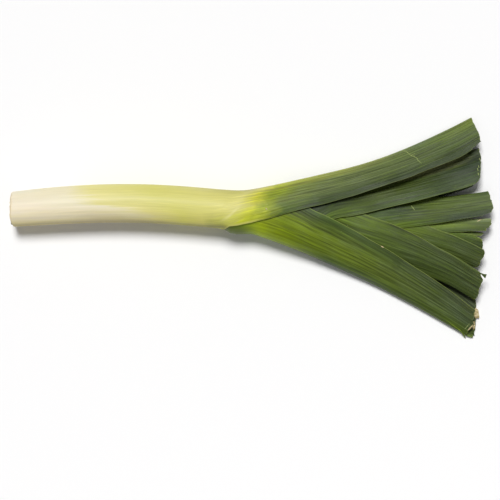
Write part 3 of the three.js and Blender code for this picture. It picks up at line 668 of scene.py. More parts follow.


# along each leaf, in units of 0.85 mm from the root: middle of the half blade, keel side, margin side; colours are 0 to
# 255. The colours partly hold painted light and shade: the near-black stops are painted shadow where outer leaves
# overhang inner ones, and the keel, middle and margin bands differ partly by how light falls across the leaf
RAMPS = {
    1: (
        [(0, (230.0, 218.0, 194.0)), (68, (226.0, 218.0, 188.0)), (92, (220.0, 212.0, 144.0)),
         (154, (206.0, 202.0, 116.0)), (250, (208.0, 202.0, 120.0)), (268, (186.0, 184.0, 50.0)),
         (282, (122.0, 136.0, 20.0)), (302, (100.0, 112.0, 44.0)), (336, (92.0, 104.0, 58.0)),
         (470, (62.0, 78.0, 22.0))],
        [(0, (226.0, 220.0, 198.0)), (68, (224.0, 214.0, 176.0)), (84, (216.0, 208.0, 136.0)),
         (154, (202.0, 198.0, 104.0)), (206, (200.0, 194.0, 116.0)), (240, (172.0, 168.0, 82.0)),
         (256, (178.0, 172.0, 116.0)), (284, (162.0, 166.0, 44.0)), (420, (86.0, 102.0, 60.0)),
         (470, (102.0, 116.0, 44.0))],
        [(0, (242.0, 228.0, 166.0)), (30, (220.0, 204.0, 142.0)), (154, (222.0, 216.0, 98.0)),
         (206, (222.0, 214.0, 110.0)), (222, (192.0, 190.0, 90.0)), (252, (202.0, 204.0, 90.0)),
         (266, (200.0, 206.0, 54.0)), (302, (74.0, 96.0, 8.0)), (336, (40.0, 56.0, 10.0)),
         (470, (38.0, 52.0, 16.0))],
    ),
    2: (
        [(0, (242.0, 234.0, 210.0)), (72, (242.0, 232.0, 208.0)), (190, (206.0, 218.0, 30.0)),
         (232, (150.0, 182.0, 12.0)), (262, (146.0, 162.0, 8.0)), (284, (106.0, 124.0, 10.0)),
         (470, (64.0, 78.0, 44.0))],
        [(0, (242.0, 234.0, 210.0)), (72, (242.0, 232.0, 208.0)), (190, (206.0, 226.0, 32.0)),
         (232, (140.0, 176.0, 8.0)), (262, (160.0, 182.0, 8.0)), (324, (58.0, 82.0, 8.0)),
         (470, (74.0, 92.0, 14.0))],
        [(0, (242.0, 234.0, 218.0)), (110, (234.0, 228.0, 172.0)), (190, (158.0, 166.0, 54.0)),
         (250, (22.0, 36.0, 8.0)), (280, (8.0, 10.0, 8.0)), (324, (62.0, 82.0, 24.0)),
         (470, (60.0, 70.0, 40.0))],
    ),
    3: (
        [(0, (242.0, 234.0, 218.0)), (110, (234.0, 228.0, 172.0)), (210, (146.0, 158.0, 34.0)),
         (290, (10.0, 22.0, 8.0)), (340, (26.0, 38.0, 8.0)), (376, (68.0, 82.0, 22.0)),
         (470, (24.0, 40.0, 8.0))],
        [(0, (242.0, 232.0, 212.0)), (72, (242.0, 234.0, 198.0)), (210, (190.0, 196.0, 88.0)),
         (290, (112.0, 130.0, 40.0)), (340, (104.0, 120.0, 54.0)), (400, (240.0, 244.0, 162.0)),
         (470, (36.0, 50.0, 8.0))],
        [(0, (240.0, 232.0, 210.0)), (72, (244.0, 234.0, 202.0)), (210, (182.0, 192.0, 58.0)),
         (290, (76.0, 110.0, 8.0)), (340, (74.0, 94.0, 8.0)), (376, (46.0, 62.0, 8.0)),
         (470, (46.0, 68.0, 8.0))],
    ),
    4: (
        [(0, (242.0, 232.0, 212.0)), (72, (242.0, 234.0, 198.0)), (220, (190.0, 196.0, 88.0)),
         (310, (78.0, 94.0, 8.0)), (350, (68.0, 86.0, 8.0)), (404, (72.0, 88.0, 36.0)),
         (470, (58.0, 72.0, 28.0))],
        [(0, (242.0, 232.0, 210.0)), (72, (240.0, 232.0, 204.0)), (110, (232.0, 226.0, 160.0)),
         (220, (190.0, 196.0, 90.0)), (310, (118.0, 136.0, 40.0)), (404, (58.0, 70.0, 24.0)),
         (470, (76.0, 92.0, 44.0))],
        [(0, (242.0, 232.0, 212.0)), (72, (242.0, 234.0, 198.0)), (220, (190.0, 196.0, 88.0)),
         (310, (86.0, 104.0, 8.0)), (350, (90.0, 112.0, 8.0)), (404, (58.0, 72.0, 22.0)),
         (470, (66.0, 80.0, 36.0))],
    ),
    5: (
        [(0, (242.0, 232.0, 212.0)), (72, (242.0, 234.0, 200.0)), (240, (192.0, 196.0, 88.0)),
         (340, (70.0, 94.0, 8.0)), (400, (38.0, 56.0, 8.0)), (430, (70.0, 86.0, 18.0)),
         (484, (76.0, 92.0, 38.0))],
        [(0, (242.0, 232.0, 210.0)), (72, (240.0, 232.0, 204.0)), (120, (232.0, 226.0, 160.0)),
         (240, (190.0, 196.0, 90.0)), (340, (116.0, 136.0, 32.0)), (400, (84.0, 98.0, 18.0)),
         (484, (66.0, 84.0, 32.0))],
        [(0, (242.0, 232.0, 212.0)), (72, (242.0, 234.0, 200.0)), (240, (192.0, 196.0, 88.0)),
         (340, (108.0, 132.0, 12.0)), (380, (90.0, 112.0, 8.0)), (460, (30.0, 48.0, 8.0)),
         (484, (30.0, 48.0, 8.0))],
    ),
    6: (
        [(0, (242.0, 232.0, 212.0)), (72, (242.0, 234.0, 198.0)), (250, (190.0, 196.0, 88.0)),
         (370, (106.0, 126.0, 14.0)), (404, (92.0, 110.0, 8.0)), (430, (68.0, 84.0, 28.0)),
         (480, (64.0, 76.0, 36.0))],
        [(0, (242.0, 232.0, 210.0)), (72, (240.0, 232.0, 204.0)), (120, (232.0, 226.0, 160.0)),
         (250, (190.0, 196.0, 90.0)), (370, (130.0, 150.0, 44.0)), (404, (110.0, 128.0, 44.0)),
         (480, (48.0, 60.0, 22.0))],
        [(0, (242.0, 232.0, 212.0)), (72, (242.0, 234.0, 198.0)), (250, (190.0, 196.0, 86.0)),
         (404, (84.0, 106.0, 8.0)), (430, (84.0, 100.0, 34.0)), (456, (56.0, 72.0, 20.0)),
         (480, (54.0, 68.0, 24.0))],
    ),
    7: (
        [(0, (242.0, 232.0, 210.0)), (72, (240.0, 232.0, 204.0)), (120, (232.0, 226.0, 160.0)),
         (260, (190.0, 196.0, 90.0)), (390, (134.0, 156.0, 42.0)), (430, (120.0, 142.0, 46.0)),
         (484, (72.0, 84.0, 44.0))],
        [(0, (242.0, 232.0, 210.0)), (72, (240.0, 232.0, 204.0)), (120, (232.0, 226.0, 160.0)),
         (260, (190.0, 196.0, 90.0)), (390, (138.0, 158.0, 46.0)), (456, (184.0, 210.0, 132.0)),
         (484, (142.0, 156.0, 108.0))],
        [(0, (242.0, 232.0, 210.0)), (72, (240.0, 232.0, 204.0)), (120, (232.0, 226.0, 160.0)),
         (260, (190.0, 196.0, 90.0)), (390, (92.0, 116.0, 8.0)), (456, (50.0, 68.0, 8.0)),
         (484, (56.0, 74.0, 14.0))],
    ),
    8: (
        [(0, (242.0, 232.0, 210.0)), (72, (240.0, 232.0, 204.0)), (120, (232.0, 226.0, 160.0)),
         (270, (190.0, 196.0, 90.0)), (400, (118.0, 138.0, 30.0)), (464, (46.0, 62.0, 8.0)),
         (484, (42.0, 56.0, 10.0))],
        [(0, (240.0, 232.0, 208.0)), (12, (242.0, 236.0, 212.0)), (72, (240.0, 232.0, 202.0)),
         (120, (232.0, 226.0, 160.0)), (270, (190.0, 196.0, 90.0)), (400, (134.0, 156.0, 46.0)),
         (484, (76.0, 90.0, 46.0))],
        [(0, (242.0, 232.0, 212.0)), (72, (242.0, 234.0, 198.0)), (270, (190.0, 196.0, 88.0)),
         (400, (132.0, 156.0, 26.0)), (450, (98.0, 124.0, 8.0)), (464, (74.0, 96.0, 8.0)),
         (484, (58.0, 76.0, 10.0))],
    ),
    9: (
        [(0, (240.0, 232.0, 208.0)), (12, (242.0, 236.0, 212.0)), (72, (240.0, 232.0, 202.0)),
         (120, (232.0, 226.0, 160.0)), (280, (190.0, 196.0, 90.0)), (410, (130.0, 150.0, 48.0)),
         (484, (72.0, 86.0, 42.0))],
        [(0, (240.0, 232.0, 208.0)), (12, (242.0, 236.0, 212.0)), (72, (240.0, 232.0, 202.0)),
         (120, (232.0, 226.0, 160.0)), (280, (190.0, 196.0, 90.0)), (410, (130.0, 150.0, 48.0)),
         (484, (72.0, 86.0, 42.0))],
        [(0, (240.0, 232.0, 208.0)), (12, (242.0, 236.0, 212.0)), (72, (240.0, 232.0, 202.0)),
         (120, (232.0, 226.0, 160.0)), (280, (190.0, 196.0, 90.0)), (410, (130.0, 150.0, 48.0)),
         (484, (72.0, 86.0, 42.0))],
    ),
}


PALE_MARGIN = {1: 0.25, 2: 0.65, 3: 0.30, 4: 0.55, 5: 0.20, 6: 0.60, 7: 0.30, 8: 0.50, 9: 0.30}


def leaf_material(k):
    n = Nodes(f"leaf_{k}_tissue")
    along, across, keel = n.attr("grow")
    margin, tip, inner = n.attr("edge")
    share = n.math("DIVIDE", n.math("ABSOLUTE", across), ACROSS)
    off = 7.31 * k
    flag = n.math("MULTIPLY", inner, 5.0)
    z = n.math("ADD", flag, off)

    def coords(per_length, per_mm):
        return n.vec(n.math("MULTIPLY", along, per_length), n.math("MULTIPLY", across, per_mm), z)

    veins = n.noise(coords(6.0, 0.30), 1.0, 2.0, 0.6)  # broad bands, about 3 mm
    fine = n.noise(coords(7.0, 0.55), 1.0, 2.0, 0.65)  # groups of veins, about 2 mm
    thin = n.noise(coords(22.0, 2.6), 1.0, 1.0, 0.5)  # single veins
    patch = n.noise(coords(30.0, 0.10), 1.0, 3.0, 0.6)  # soft patches, 10 to 20 mm
    fleck = n.noise(coords(260.0, 1.1), 1.0, 1.0, 0.5)

    # where on the growth ramp this spot is: the colours start later or earlier towards the
    # margin, and their fronts run out in streaks
    if k == 1:
        # low on the shank the yellow starts much later, past a streaky front
        low = n.map(n.math("MULTIPLY_ADD", n.math("SUBTRACT", fine, 0.5), 0.5, share), 0.33, 0.76, 0.0, -0.135)
        low = n.math("MULTIPLY", low, n.map(along, 0.30, 0.45, 1.0, 0.0))
        lag = n.math("MULTIPLY_ADD", share, n.map(along, 0.30, 0.45, 0.0, 0.050), low)
        s = n.math("ADD", lag, along)
    else:
        s = n.math("MULTIPLY_ADD", share, n.map(along, 0.30, 0.45, -0.05, 0.0), along)
    wide = n.map(along, 0.51, 0.62, 0.022, 0.050)
    s = n.math("MULTIPLY_ADD", n.math("SUBTRACT", veins, 0.5), wide, s)
    s = n.math("MULTIPLY_ADD", n.math("SUBTRACT", fine, 0.5), wide, s)
    s = n.math("MULTIPLY_ADD", n.math("SUBTRACT", patch, 0.5), n.map(along, 0.28, 0.50, 0.012, 0.050), s)
    mid, keel_c, marg_c = [
        n.ramp(s, [(p_ / 500.0, srgb(c_)) for p_, c_ in stops]) for stops in RAMPS[k]
    ]
    wander = n.math("MULTIPLY_ADD", n.math("SUBTRACT", veins, 0.5), 0.35, share)
    base = n.mix(n.map(wander, 0.42, 0.02), mid, keel_c)
    base = n.mix(n.map(wander, 0.50, 0.98), base, marg_c)

    green = n.math("MULTIPLY", n.map(along, 0.44, 0.58, 0.11, 1.0), n.map(along, 0.10, 0.20, 0.45, 1.0))
    # veins: lighter and darker lines, stronger on the green blade
    ridge = n.math("ABSOLUTE", n.math("SUBTRACT", n.noise(coords(5.0, 0.40), 1.0, 1.5, 0.6), 0.5))
    ridge = n.map(ridge, 0.035, 0.004)  # crisp pale veins, 2 to 3 mm apart
    broad = n.math("MULTIPLY", n.map(veins, 0.36, 0.64, -0.15, 0.15, False), n.map(along, 0.40, 0.56, 0.3, 1.0))
    tone = n.math("ADD", broad, n.map(fine, 0.36, 0.64, -0.34, 0.38, False))
    tone = n.math("ADD", tone, n.map(thin, 0.34, 0.66, -0.15, 0.17, False))
    tone = n.math("MULTIPLY_ADD", ridge, 0.42, tone)
    tone = n.math("MULTIPLY_ADD", tone, green, 0.97)
    base = n.mix(1.0, base, n.vec(tone, tone, tone), "MULTIPLY")
    # yellow-green in the veins' hollows, bluish bloom on their backs
    bloom = n.math("MULTIPLY", n.map(patch, 0.42, 0.72), n.math("MULTIPLY", n.map(fine, 0.35, 0.6), green))
    base = n.mix(n.math("MULTIPLY", bloom, 0.10), base, srgb((138, 152, 128)))
    lush = n.math("MULTIPLY", n.map(veins, 0.52, 0.30), n.map(patch, 0.55, 0.35))
    base = n.mix(n.math("MULTIPLY", lush, n.map(along, 0.47, 0.60, 0.0, 0.22)), base, srgb((104, 128, 26)))
    # pale flecks, sparse
    base = n.mix(n.math("MULTIPLY", n.map(fleck, 0.76, 0.84), 0.35), base, srgb((196, 204, 140)))
    # the margin is a thin pale line, the cut tip thin, pale in places and partly dried
    on_blade = n.math("MULTIPLY", n.map(margin, 0.45, 0.10), PALE_MARGIN[k])
    base = n.mix(on_blade, base, srgb((158, 172, 84)))
    if k == 1:
        rim = n.map(n.math("MULTIPLY_ADD", n.math("SUBTRACT", thin, 0.5), 0.003, along), 0.0246, 0.0214)
        base = n.mix(n.math("MULTIPLY", rim, 0.60), base, srgb((196, 174, 124)))
        # the shank: painted light makes it a little lighter below the middle; painted shade makes it dull, darker and
        # brownish on the underside
        body = n.map(along, 0.49, 0.43)
        # painted light: lighter between the middle and the underside
        pale = n.math("MULTIPLY", n.map(share, 0.38, 0.58), n.map(share, 0.92, 0.78))
        # painted shade: darker and brownish towards the underside
        painted_underside_shade = n.math("MULTIPLY", n.map(share, 0.76, 0.92), n.map(share, 1.02, 0.95, 0.6, 1.0))
        painted_underside_shade = n.math("MULTIPLY", painted_underside_shade, n.map(along, 0.38, 0.28))
        painted_light_gain = n.math("MULTIPLY_ADD", n.math("MULTIPLY", pale, body), 0.18, 1.0)
        base = n.mix(1.0, base, n.vec(painted_light_gain, painted_light_gain, painted_light_gain), "MULTIPLY")
        base = n.mix(n.math("MULTIPLY", painted_underside_shade, 0.52), base, srgb((172, 154, 98)))
        # painted shade: a dark olive band along the lowest edge of the shank
        under = n.math("MULTIPLY", n.map(share, 0.82, 0.95), n.map(share, 1.02, 0.97, 0.5, 1.0))
        under = n.math("MULTIPLY", under, n.math("MULTIPLY", n.map(along, 0.475, 0.445), n.map(along, 0.20, 0.36)))
        base = n.mix(n.math("MULTIPLY", under, 0.60), base, srgb((124, 118, 54)))
        # a painted highlight: a pale streak on the fold of the neck
        painted_highlight = n.map(n.math("ABSOLUTE", n.math("SUBTRACT", n.math("MULTIPLY_ADD", share, 0.15, along), 0.563)), 0.009, 0.001)
        painted_highlight = n.math("MULTIPLY", painted_highlight, n.math("MULTIPLY", n.map(share, 0.54, 0.66), n.map(share, 0.84, 0.72)))
        base = n.mix(n.math("MULTIPLY", painted_highlight, 0.34), base, srgb((240, 234, 168)))
        strip = n.math("MULTIPLY", n.map(margin, 2.6, 0.8), n.map(along, 0.535, 0.490))
        base = n.mix(n.math("MULTIPLY", strip, 0.65), base, srgb((214, 210, 120)))
    if k == 2:
        # painted shade: darker on the keel side of the second leaf's sheath under the fork
        under = n.math("MULTIPLY", n.map(share, 0.42, 0.16), n.map(along, 0.522, 0.476))
        base = n.mix(n.math("MULTIPLY", under, 0.75), base, srgb((86, 92, 48)))
        # painted shade of a shallow dent: a dark line across the blade
        crease_shade = n.map(n.math("ABSOLUTE", n.math("SUBTRACT", n.math("MULTIPLY_ADD", share, -0.02, along), 0.776)), 0.012, 0.002)
        crease_shade = n.math("MULTIPLY", crease_shade, n.math("MULTIPLY", n.map(share, 0.50, 0.70), n.map(fine, 0.42, 0.60)))
        base = n.mix(n.math("MULTIPLY", crease_shade, 0.45), base, srgb((44, 56, 26)))
    dry = n.noise(coords(55.0, 0.5), 1.0, 2.0, 0.6)
    cut = n.map(n.math("MULTIPLY_ADD", n.math("SUBTRACT", dry, 0.5), 1.6, tip), 0.45, 0.05)
    cut_c = n.mix(n.map(dry, 0.50, 0.62), srgb((112, 128, 62)), srgb((206, 200, 150)))
    base = n.mix(n.math("MULTIPLY", cut, 0.55), base, cut_c)
    # root face: pale cut tissue, a little browned
    root = n.map(inner, 1.2, 1.8)
    root_c = n.mix(n.map(n.noise(coords(300.0, 0.4), 1.0, 3.0, 0.6), 0.45, 0.7), srgb((236, 229, 205)), srgb((203, 180, 132)))
    base = n.mix(root, base, root_c)
    n.put(n.bsdf.inputs["Base Color"], base)
    rough = n.math("MULTIPLY_ADD", n.math("SUBTRACT", fine, 0.5), 0.30, n.map(along, 0.42, 0.6, 0.46, 0.50))
    n.put(n.bsdf.inputs["Roughness"], rough)
    n.bsdf.inputs["Specular IOR Level"].default_value = 0.30
    n.bsdf.inputs["Subsurface Weight"].default_value = 0.10
    n.bsdf.inputs["Subsurface Radius"].default_value = (0.9, 0.8, 0.35)
    n.bsdf.inputs["Subsurface Scale"].default_value = 0.0022
    grain = n.noise(coords(700.0, 3.2), 1.0, 2.0, 0.5)
    h = n.math("MULTIPLY_ADD", fine, 0.55, n.math("MULTIPLY", veins, 0.9))
    h = n.math("MULTIPLY_ADD", thin, 0.25, h)
    h = n.math("MULTIPLY_ADD", grain, 0.10, h)
    amount = n.math("MULTIPLY", h, n.map(along, 0.40, 0.6, 0.45, 1.0))
    n.put(n.bsdf.inputs["Normal"], n.bump(amount, 0.55, 0.0007))
    return n.mat


# ---------------------------------------------------------------- pieces
NAMES = {1: "leaf_1_outermost", 9: "leaf_9_heart", **{k: f"leaf_{k}" for k in range(2, 9)}}
for k in range(1, 10):
    ob = leaf_mesh(k, f"{NAMES[k]}_blade")
    ob.data.materials.append(leaf_material(k))
    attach(ob, "root")
    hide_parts(NAMES[k])


def basal_plate():
    """The cut disc of stem with its root stubs: a domed, pitted face and short cut roots."""
    _, m, w, h = oval(1, np.array(ROOT_X))
    cy, cz = float(m), float(h)
    R, n_a, n_r = 11.5, 96, 26
    rng = np.random.RandomState(5)
    pit = waves(31, 12, 2.0, 9.0, 0.6)
    verts, faces, kind = [], [], []
    ang = np.linspace(0, 2 * math.pi, n_a, endpoint=False)
    # face rings from the centre out, then the side
    verts.append([ROOT_X - 0.5, cy, cz])
    kind.append(0.0)
    for i in range(1, n_r + 1):
        r = R * i / n_r
        for a in ang:
            y, z = r * math.cos(a), r * math.sin(a)
            f = r / R
            x = ROOT_X - 0.55 * (1 - f**2) + 0.22 * float(pit(y, z)) * (1 - f**6) + 0.9 * max(0.0, (f - 0.9) / 0.1) ** 2
            verts.append([x, cy + y, cz + z])
            kind.append(f)
    for x in (ROOT_X + 1.5, ROOT_X + 2.5, ROOT_X + 3.3):
        for a in ang:
            verts.append([x, cy + R * math.cos(a), cz + R * math.sin(a)])
            kind.append(1.0)
    back = len(verts)
    verts.append([ROOT_X + 3.4, cy, cz])
    kind.append(1.0)
    quads, tris = [], []
    for i in range(n_r + 2):
        for j in range(n_a):
            a, b = 1 + i * n_a + j, 1 + i * n_a + (j + 1) % n_a
            quads.append([a, b, b + n_a, a + n_a])
    last = 1 + (n_r + 2) * n_a
    for j in range(n_a):
        tris.append([0, 1 + (j + 1) % n_a, 1 + j])
        tris.append([back, last + j, last + (j + 1) % n_a])
    # cut roots: short uneven stubs, closer together towards the rim
    golden = math.pi * (3 - math.sqrt(5))
    for i in range(150):
        r = R * (0.16 + 0.80 * math.sqrt((i + 0.5) / 150))
        a = i * golden + rng.uniform(-0.15, 0.15)
        y, z = r * math.cos(a), r * math.sin(a)
        rad, length = rng.uniform(0.34, 0.62), rng.uniform(0.3, 0.85)
        lean = rng.uniform(-0.25, 0.25, 2)
        base = len(verts)
        x0 = ROOT_X - 0.2
        steps = [(0.35, 1.0), (-0.45 * length, 0.93), (-0.92 * length, 0.86), (-length, 0.62)]
        for dx, g in steps:
            for q in range(9):
                b = 2 * math.pi * q / 9
                rr = rad * g * (1 + 0.12 * math.sin(3 * b + i))
                verts.append([x0 + dx + 0.10 * math.sin(b + i) * (dx < 0),
                              cy + y + lean[0] * -dx + rr * math.cos(b),
                              cz + z + lean[1] * -dx + rr * math.sin(b)])
                kind.append(2.0 + 0.4 * (dx < -0.5 * length))
        for s_ in range(len(steps) - 1):
            for q in range(9):
                p0, p1 = base + s_ * 9 + q, base + s_ * 9 + (q + 1) % 9
                quads.append([p0, p0 + 9, p1 + 9, p1])
        c0 = len(verts)
        verts.append([x0 - length - 0.04, cy + y + lean[0] * length, cz + z + lean[1] * length])
        kind.append(3.0)
        c1 = len(verts)
        verts.append([x0 + 0.4, cy + y, cz + z])
        kind.append(2.0)
        for q in range(9):
            tris.append([base + 27 + q, c0, base + 27 + (q + 1) % 9])
            tris.append([base + q, base + (q + 1) % 9, c1])
    verts = np.array(verts)
    return new_mesh("basal_plate_roots", verts, [np.array(quads), np.array(tris)], None, {"kind": np.array(kind)})


def root_material():
    n = Nodes("basal_plate_tissue")
    a = n.t.nodes.new("ShaderNodeAttribute")
    a.attribute_type, a.attribute_name = "GEOMETRY", "kind"
    kind = a.outputs["Fac"]
    tc = n.t.nodes.new("ShaderNodeTexCoord")
    big = n.noise(tc.outputs["Object"], 260.0, 4.0, 0.6)
    small = n.noise(tc.outputs["Object"], 1500.0, 3.0, 0.6)
    face = n.mix(n.map(big, 0.35, 0.7), srgb((226, 214, 180)), srgb((176, 150, 104)))
    stub = n.mix(n.map(small, 0.35, 0.7), srgb((236, 226, 196)), srgb((206, 186, 140)))
    cut = n.mix(n.map(small, 0.4, 0.65), srgb((198, 172, 118)), srgb((150, 118, 74)))
    base = n.mix(n.map(kind, 1.4, 1.9), face, stub)
    base = n.mix(n.map(kind, 2.2, 2.9), base, cut)
    n.put(n.bsdf.inputs["Base Color"], base)
    n.put(n.bsdf.inputs["Roughness"], n.map(big, 0.3, 0.7, 0.55, 0.8))
    n.bsdf.inputs["Specular IOR Level"].default_value = 0.3
    n.put(n.bsdf.inputs["Normal"], n.bump(n.math("ADD", big, n.math("MULTIPLY", small, 0.5)), 0.6, 0.0006))
    return n.mat


plate = basal_plate()
plate.data.materials.append(root_material())
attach(plate, "root")
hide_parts("basal_plate")


# ---------------------------------------------------------------- scars, slivers and dry ends
from mathutils import Vector
from mathutils.bvhtree import BVHTree

LEAF = {k: bpy.data.objects[f"{NAMES[k]}_blade"] for k in range(1, 10)}
TREES = {}


def drop_on(k, x, y, far=False):
    """Height in mm of leaf k's surface at (x, y), from above, or the lower half's if far."""
    if k not in TREES:
        me = LEAF[k].data
        TREES[k] = BVHTree.FromPolygons([v.co[:] for v in me.vertices], [p_.vertices[:] for p_ in me.polygons])
    hits, z = [], 1.0
    for _ in range(8):
        h = TREES[k].ray_cast(Vector((x / 1000, y / 1000, z)), Vector((0, 0, -1)))
        if h[0] is None:
            break
        hits.append(h[0].z * 1000)
        z = h[0].z - 1e-5
    if not hits:
        return None
    return hits[min(2, len(hits) - 1)] if far else hits[0]


def at(u, v):
    """From guide units (0.85 mm; x from the root side, y down the view) to mm."""
    return (X_OF_ZERO + u * UNIT, CENTRE_Y + (250 - v) * UNIT)


def piece_mesh(name, verts, tris, mat):
    me = bpy.data.meshes.new(name)
    me.from_pydata([tuple(np.asarray(v, float) / 1000.0) for v in verts], [], [tuple(int(i) for i in t) for t in tris])
    me.validate()
    import bmesh

    bm = bmesh.new()
    bm.from_mesh(me)
    bmesh.ops.recalc_face_normals(bm, faces=bm.faces)
    bm.to_mesh(me)
    bm.free()
    me.shade_smooth()
    me.set_sharp_from_angle(angle=math.radians(50))
    ob = bpy.data.objects.new(name, me)
    bpy.context.scene.collection.objects.link(ob)
    ob.data.materials.append(mat)
    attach(ob, "root")
    return ob


def strand(name, path, radii, mat, n_side=8, flat=1.0):
    """A closed, tapering strand along points (x, y, z) in mm."""
    P_ = np.array(path, float)
    d = np.concatenate([[0], np.cumsum(np.linalg.norm(np.diff(P_, axis=0), axis=1))])
    n_ = max(8, int(d[-1] / 0.35))
    t = np.linspace(0, d[-1], n_)
    P_ = np.stack([pchip(d, P_[:, i])(t) for i in range(3)], -1)
    rr = np.interp(t / d[-1], np.linspace(0, 1, len(radii)), radii)
    T = np.gradient(P_, axis=0)
    T /= np.linalg.norm(T, axis=1, keepdims=True)
    up = np.array([0, 0, 1.0])
    verts, tris = [], []
    rng = np.random.RandomState(len(name))
    for i in range(n_):
        a_ = np.cross(T[i], up)
        a_ /= max(np.linalg.norm(a_), 1e-6)
        b_ = np.cross(a_, T[i])
        for q in range(n_side):
            th = 2 * math.pi * q / n_side
            r_ = rr[i] * (1 + 0.15 * rng.uniform(-1, 1))
            verts.append(P_[i] + r_ * (math.cos(th) * a_ + flat * math.sin(th) * b_))
    for i in range(n_ - 1):
        for q in range(n_side):
            a0, a1 = i * n_side + q, i * n_side + (q + 1) % n_side
            tris.append((a0, a1, a1 + n_side, a0 + n_side))
    for base, pt in ((0, P_[0] - 0.3 * rr[0] * T[0]), ((n_ - 1) * n_side, P_[-1] + 0.3 * rr[-1] * T[-1])):
        c_ = len(verts)
        verts.append(pt)
        for q in range(n_side):
            tris.append((base + q, base + (q + 1) % n_side, c_))
    return piece_mesh(name, verts, tris, mat)


def scar(name, pts, radii, mat, k, flat=0.30, sunk=0.3):
    """A raised dry scar that follows the surface of leaf k."""
    pts = [at(*p_) for p_ in pts]
    d = np.concatenate([[0], np.cumsum(np.linalg.norm(np.diff(np.array(pts), axis=0), axis=1))])
    t = np.linspace(0, d[-1], max(3, int(d[-1] / 0.6) + 1))
    path = []
    for v in t:
        x = float(np.interp(v, d, [p_[0] for p_ in pts]))
        y = float(np.interp(v, d, [p_[1] for p_ in pts]))
        for back_ in (0.0, 0.4, 0.8, 1.2, 1.8, 2.6):
            z = drop_on(k, x - back_, y)
            if z is not None:
                path.append((x - back_, y, z + flat * min(radii) * sunk))
                break
    if len(path) < 3:
        return None
    return strand(name, path, radii, mat, 8, flat)


def sliver(name, outline, z_at, thick, mat):
    """A thin torn scrap: an outline in guide units, a height at each point, given a thickness and rounded edges."""
    import bmesh

    bm = bmesh.new()
    vs_ = []
    for (u, v), z in zip(outline, z_at):
        x, y = at(u, v)
        vs_.append(bm.verts.new((x, y, z)))
    f = bm.faces.new(vs_)
    res = bmesh.ops.extrude_face_region(bm, geom=[f])
    for g_ in res["geom"]:
        if isinstance(g_, bmesh.types.BMVert):
            g_.co.z -= thick
    bmesh.ops.recalc_face_normals(bm, faces=bm.faces)
    bmesh.ops.bevel(bm, geom=list(bm.edges), offset=thick * 0.14, segments=2, affect="EDGES", profile=0.6)
    bmesh.ops.triangulate(bm, faces=[f_ for f_ in bm.faces if len(f_.verts) > 4])
    verts = [tuple(v.co) for v in bm.verts]
    bm.verts.index_update()
    faces_ = [[v.index for v in f_.verts] for f_ in bm.faces]
    bm.free()
    return piece_mesh(name, verts, faces_, mat)


def dry_material(name, pale, dark, scale=900.0):
    n = Nodes(name)
    tc = n.t.nodes.new("ShaderNodeTexCoord")
    mp = n.t.nodes.new("ShaderNodeMapping")
    mp.inputs["Scale"].default_value = (0.25, 1.0, 1.0)
    n.t.links.new(tc.outputs["Object"], mp.inputs["Vector"])
    a_ = n.noise(mp.outputs["Vector"], scale, 3.0, 0.6)
    b_ = n.noise(tc.outputs["Object"], scale * 0.4, 2.0, 0.5)
    base = n.mix(n.map(a_, 0.35, 0.68), srgb(pale), srgb(dark))
    base = n.mix(n.map(b_, 0.55, 0.75, 0.0, 0.5), base, srgb(dark))
    n.put(n.bsdf.inputs["Base Color"], base)
    n.put(n.bsdf.inputs["Roughness"], n.map(a_, 0.3, 0.7, 0.55, 0.8))
    n.bsdf.inputs["Specular IOR Level"].default_value = 0.25
    n.put(n.bsdf.inputs["Normal"], n.bump(a_, 0.5, 0.0003))
    return n.mat


SCAR = dry_material("scar_tissue", (158, 168, 108), (112, 128, 66))
DRY = dry_material("dry_tissue", (214, 200, 158), (156, 138, 92))
FIBRE = dry_material("keel_fibre", (128, 150, 38), (88, 108, 30))
TORN = dry_material("torn_blade", (84, 98, 44), (54, 68, 30))

scar("leaf_1_scratch", [(402, 150.2), (406.5, 151.2), (409, 153.5), (411, 155.6), (414, 156.6), (416.5, 158), (418, 161), (421, 163.6)],
     (0.15, 0.30, 0.38, 0.22, 0.36, 0.30, 0.34, 0.15), SCAR, 1)
scar("leaf_1_scratch_fork", [(411, 155.4), (413, 154.2), (415.2, 153.6)], (0.2, 0.2, 0.12), SCAR, 1)
scar("leaf_1_neck_fleck", [(265.2, 208.3), (266.3, 209.4), (267.0, 210.0)], (0.25, 0.50, 0.30), DRY, 1)
scar("leaf_5_scratch", [(410.6, 205.6), (412.4, 207.8), (414.0, 210.2)], (0.22, 0.38, 0.22), SCAR, 5)
scar("leaf_2_fleck", [(380.2, 246.2), (381.4, 246.9), (382.6, 247.6)], (0.30, 0.62, 0.30), DRY, 2)
scar("leaf_2_old_cut", [(465.4, 329.4), (467.6, 326.6), (469.8, 323.8)], (0.22, 0.34, 0.22), SCAR, 2)
scar("leaf_2_cut_edge", [(468.4, 330.6), (470.6, 328.2), (472.2, 326.4), (473.4, 325.0)], (0.30, 0.55, 0.60, 0.40), DRY, 2)
for i, row in enumerate([[(478.3, 165.4), (478.7, 168.0)], [(477.2, 168.2), (477.8, 171.2)], [(477.6, 172.6), (478.1, 175.4)], [(479.6, 158.0), (480.3, 160.4)]]):
    scar(f"leaf_3_fray_{i + 1}", row, (0.18, 0.38, 0.18), SCAR, 3)
scar("leaf_7_fray", [(477.4, 221.4), (479.6, 220.2), (482.4, 219.0)], (0.30, 0.60, 0.35), DRY, 7)
for i, row in enumerate([[(480.6, 237.2), (481.6, 238.6)], [(481.4, 239.4), (482.2, 241.2)]]):
    scar(f"leaf_8_fray_{i + 1}", row, (0.25, 0.45, 0.22), SCAR, 8)

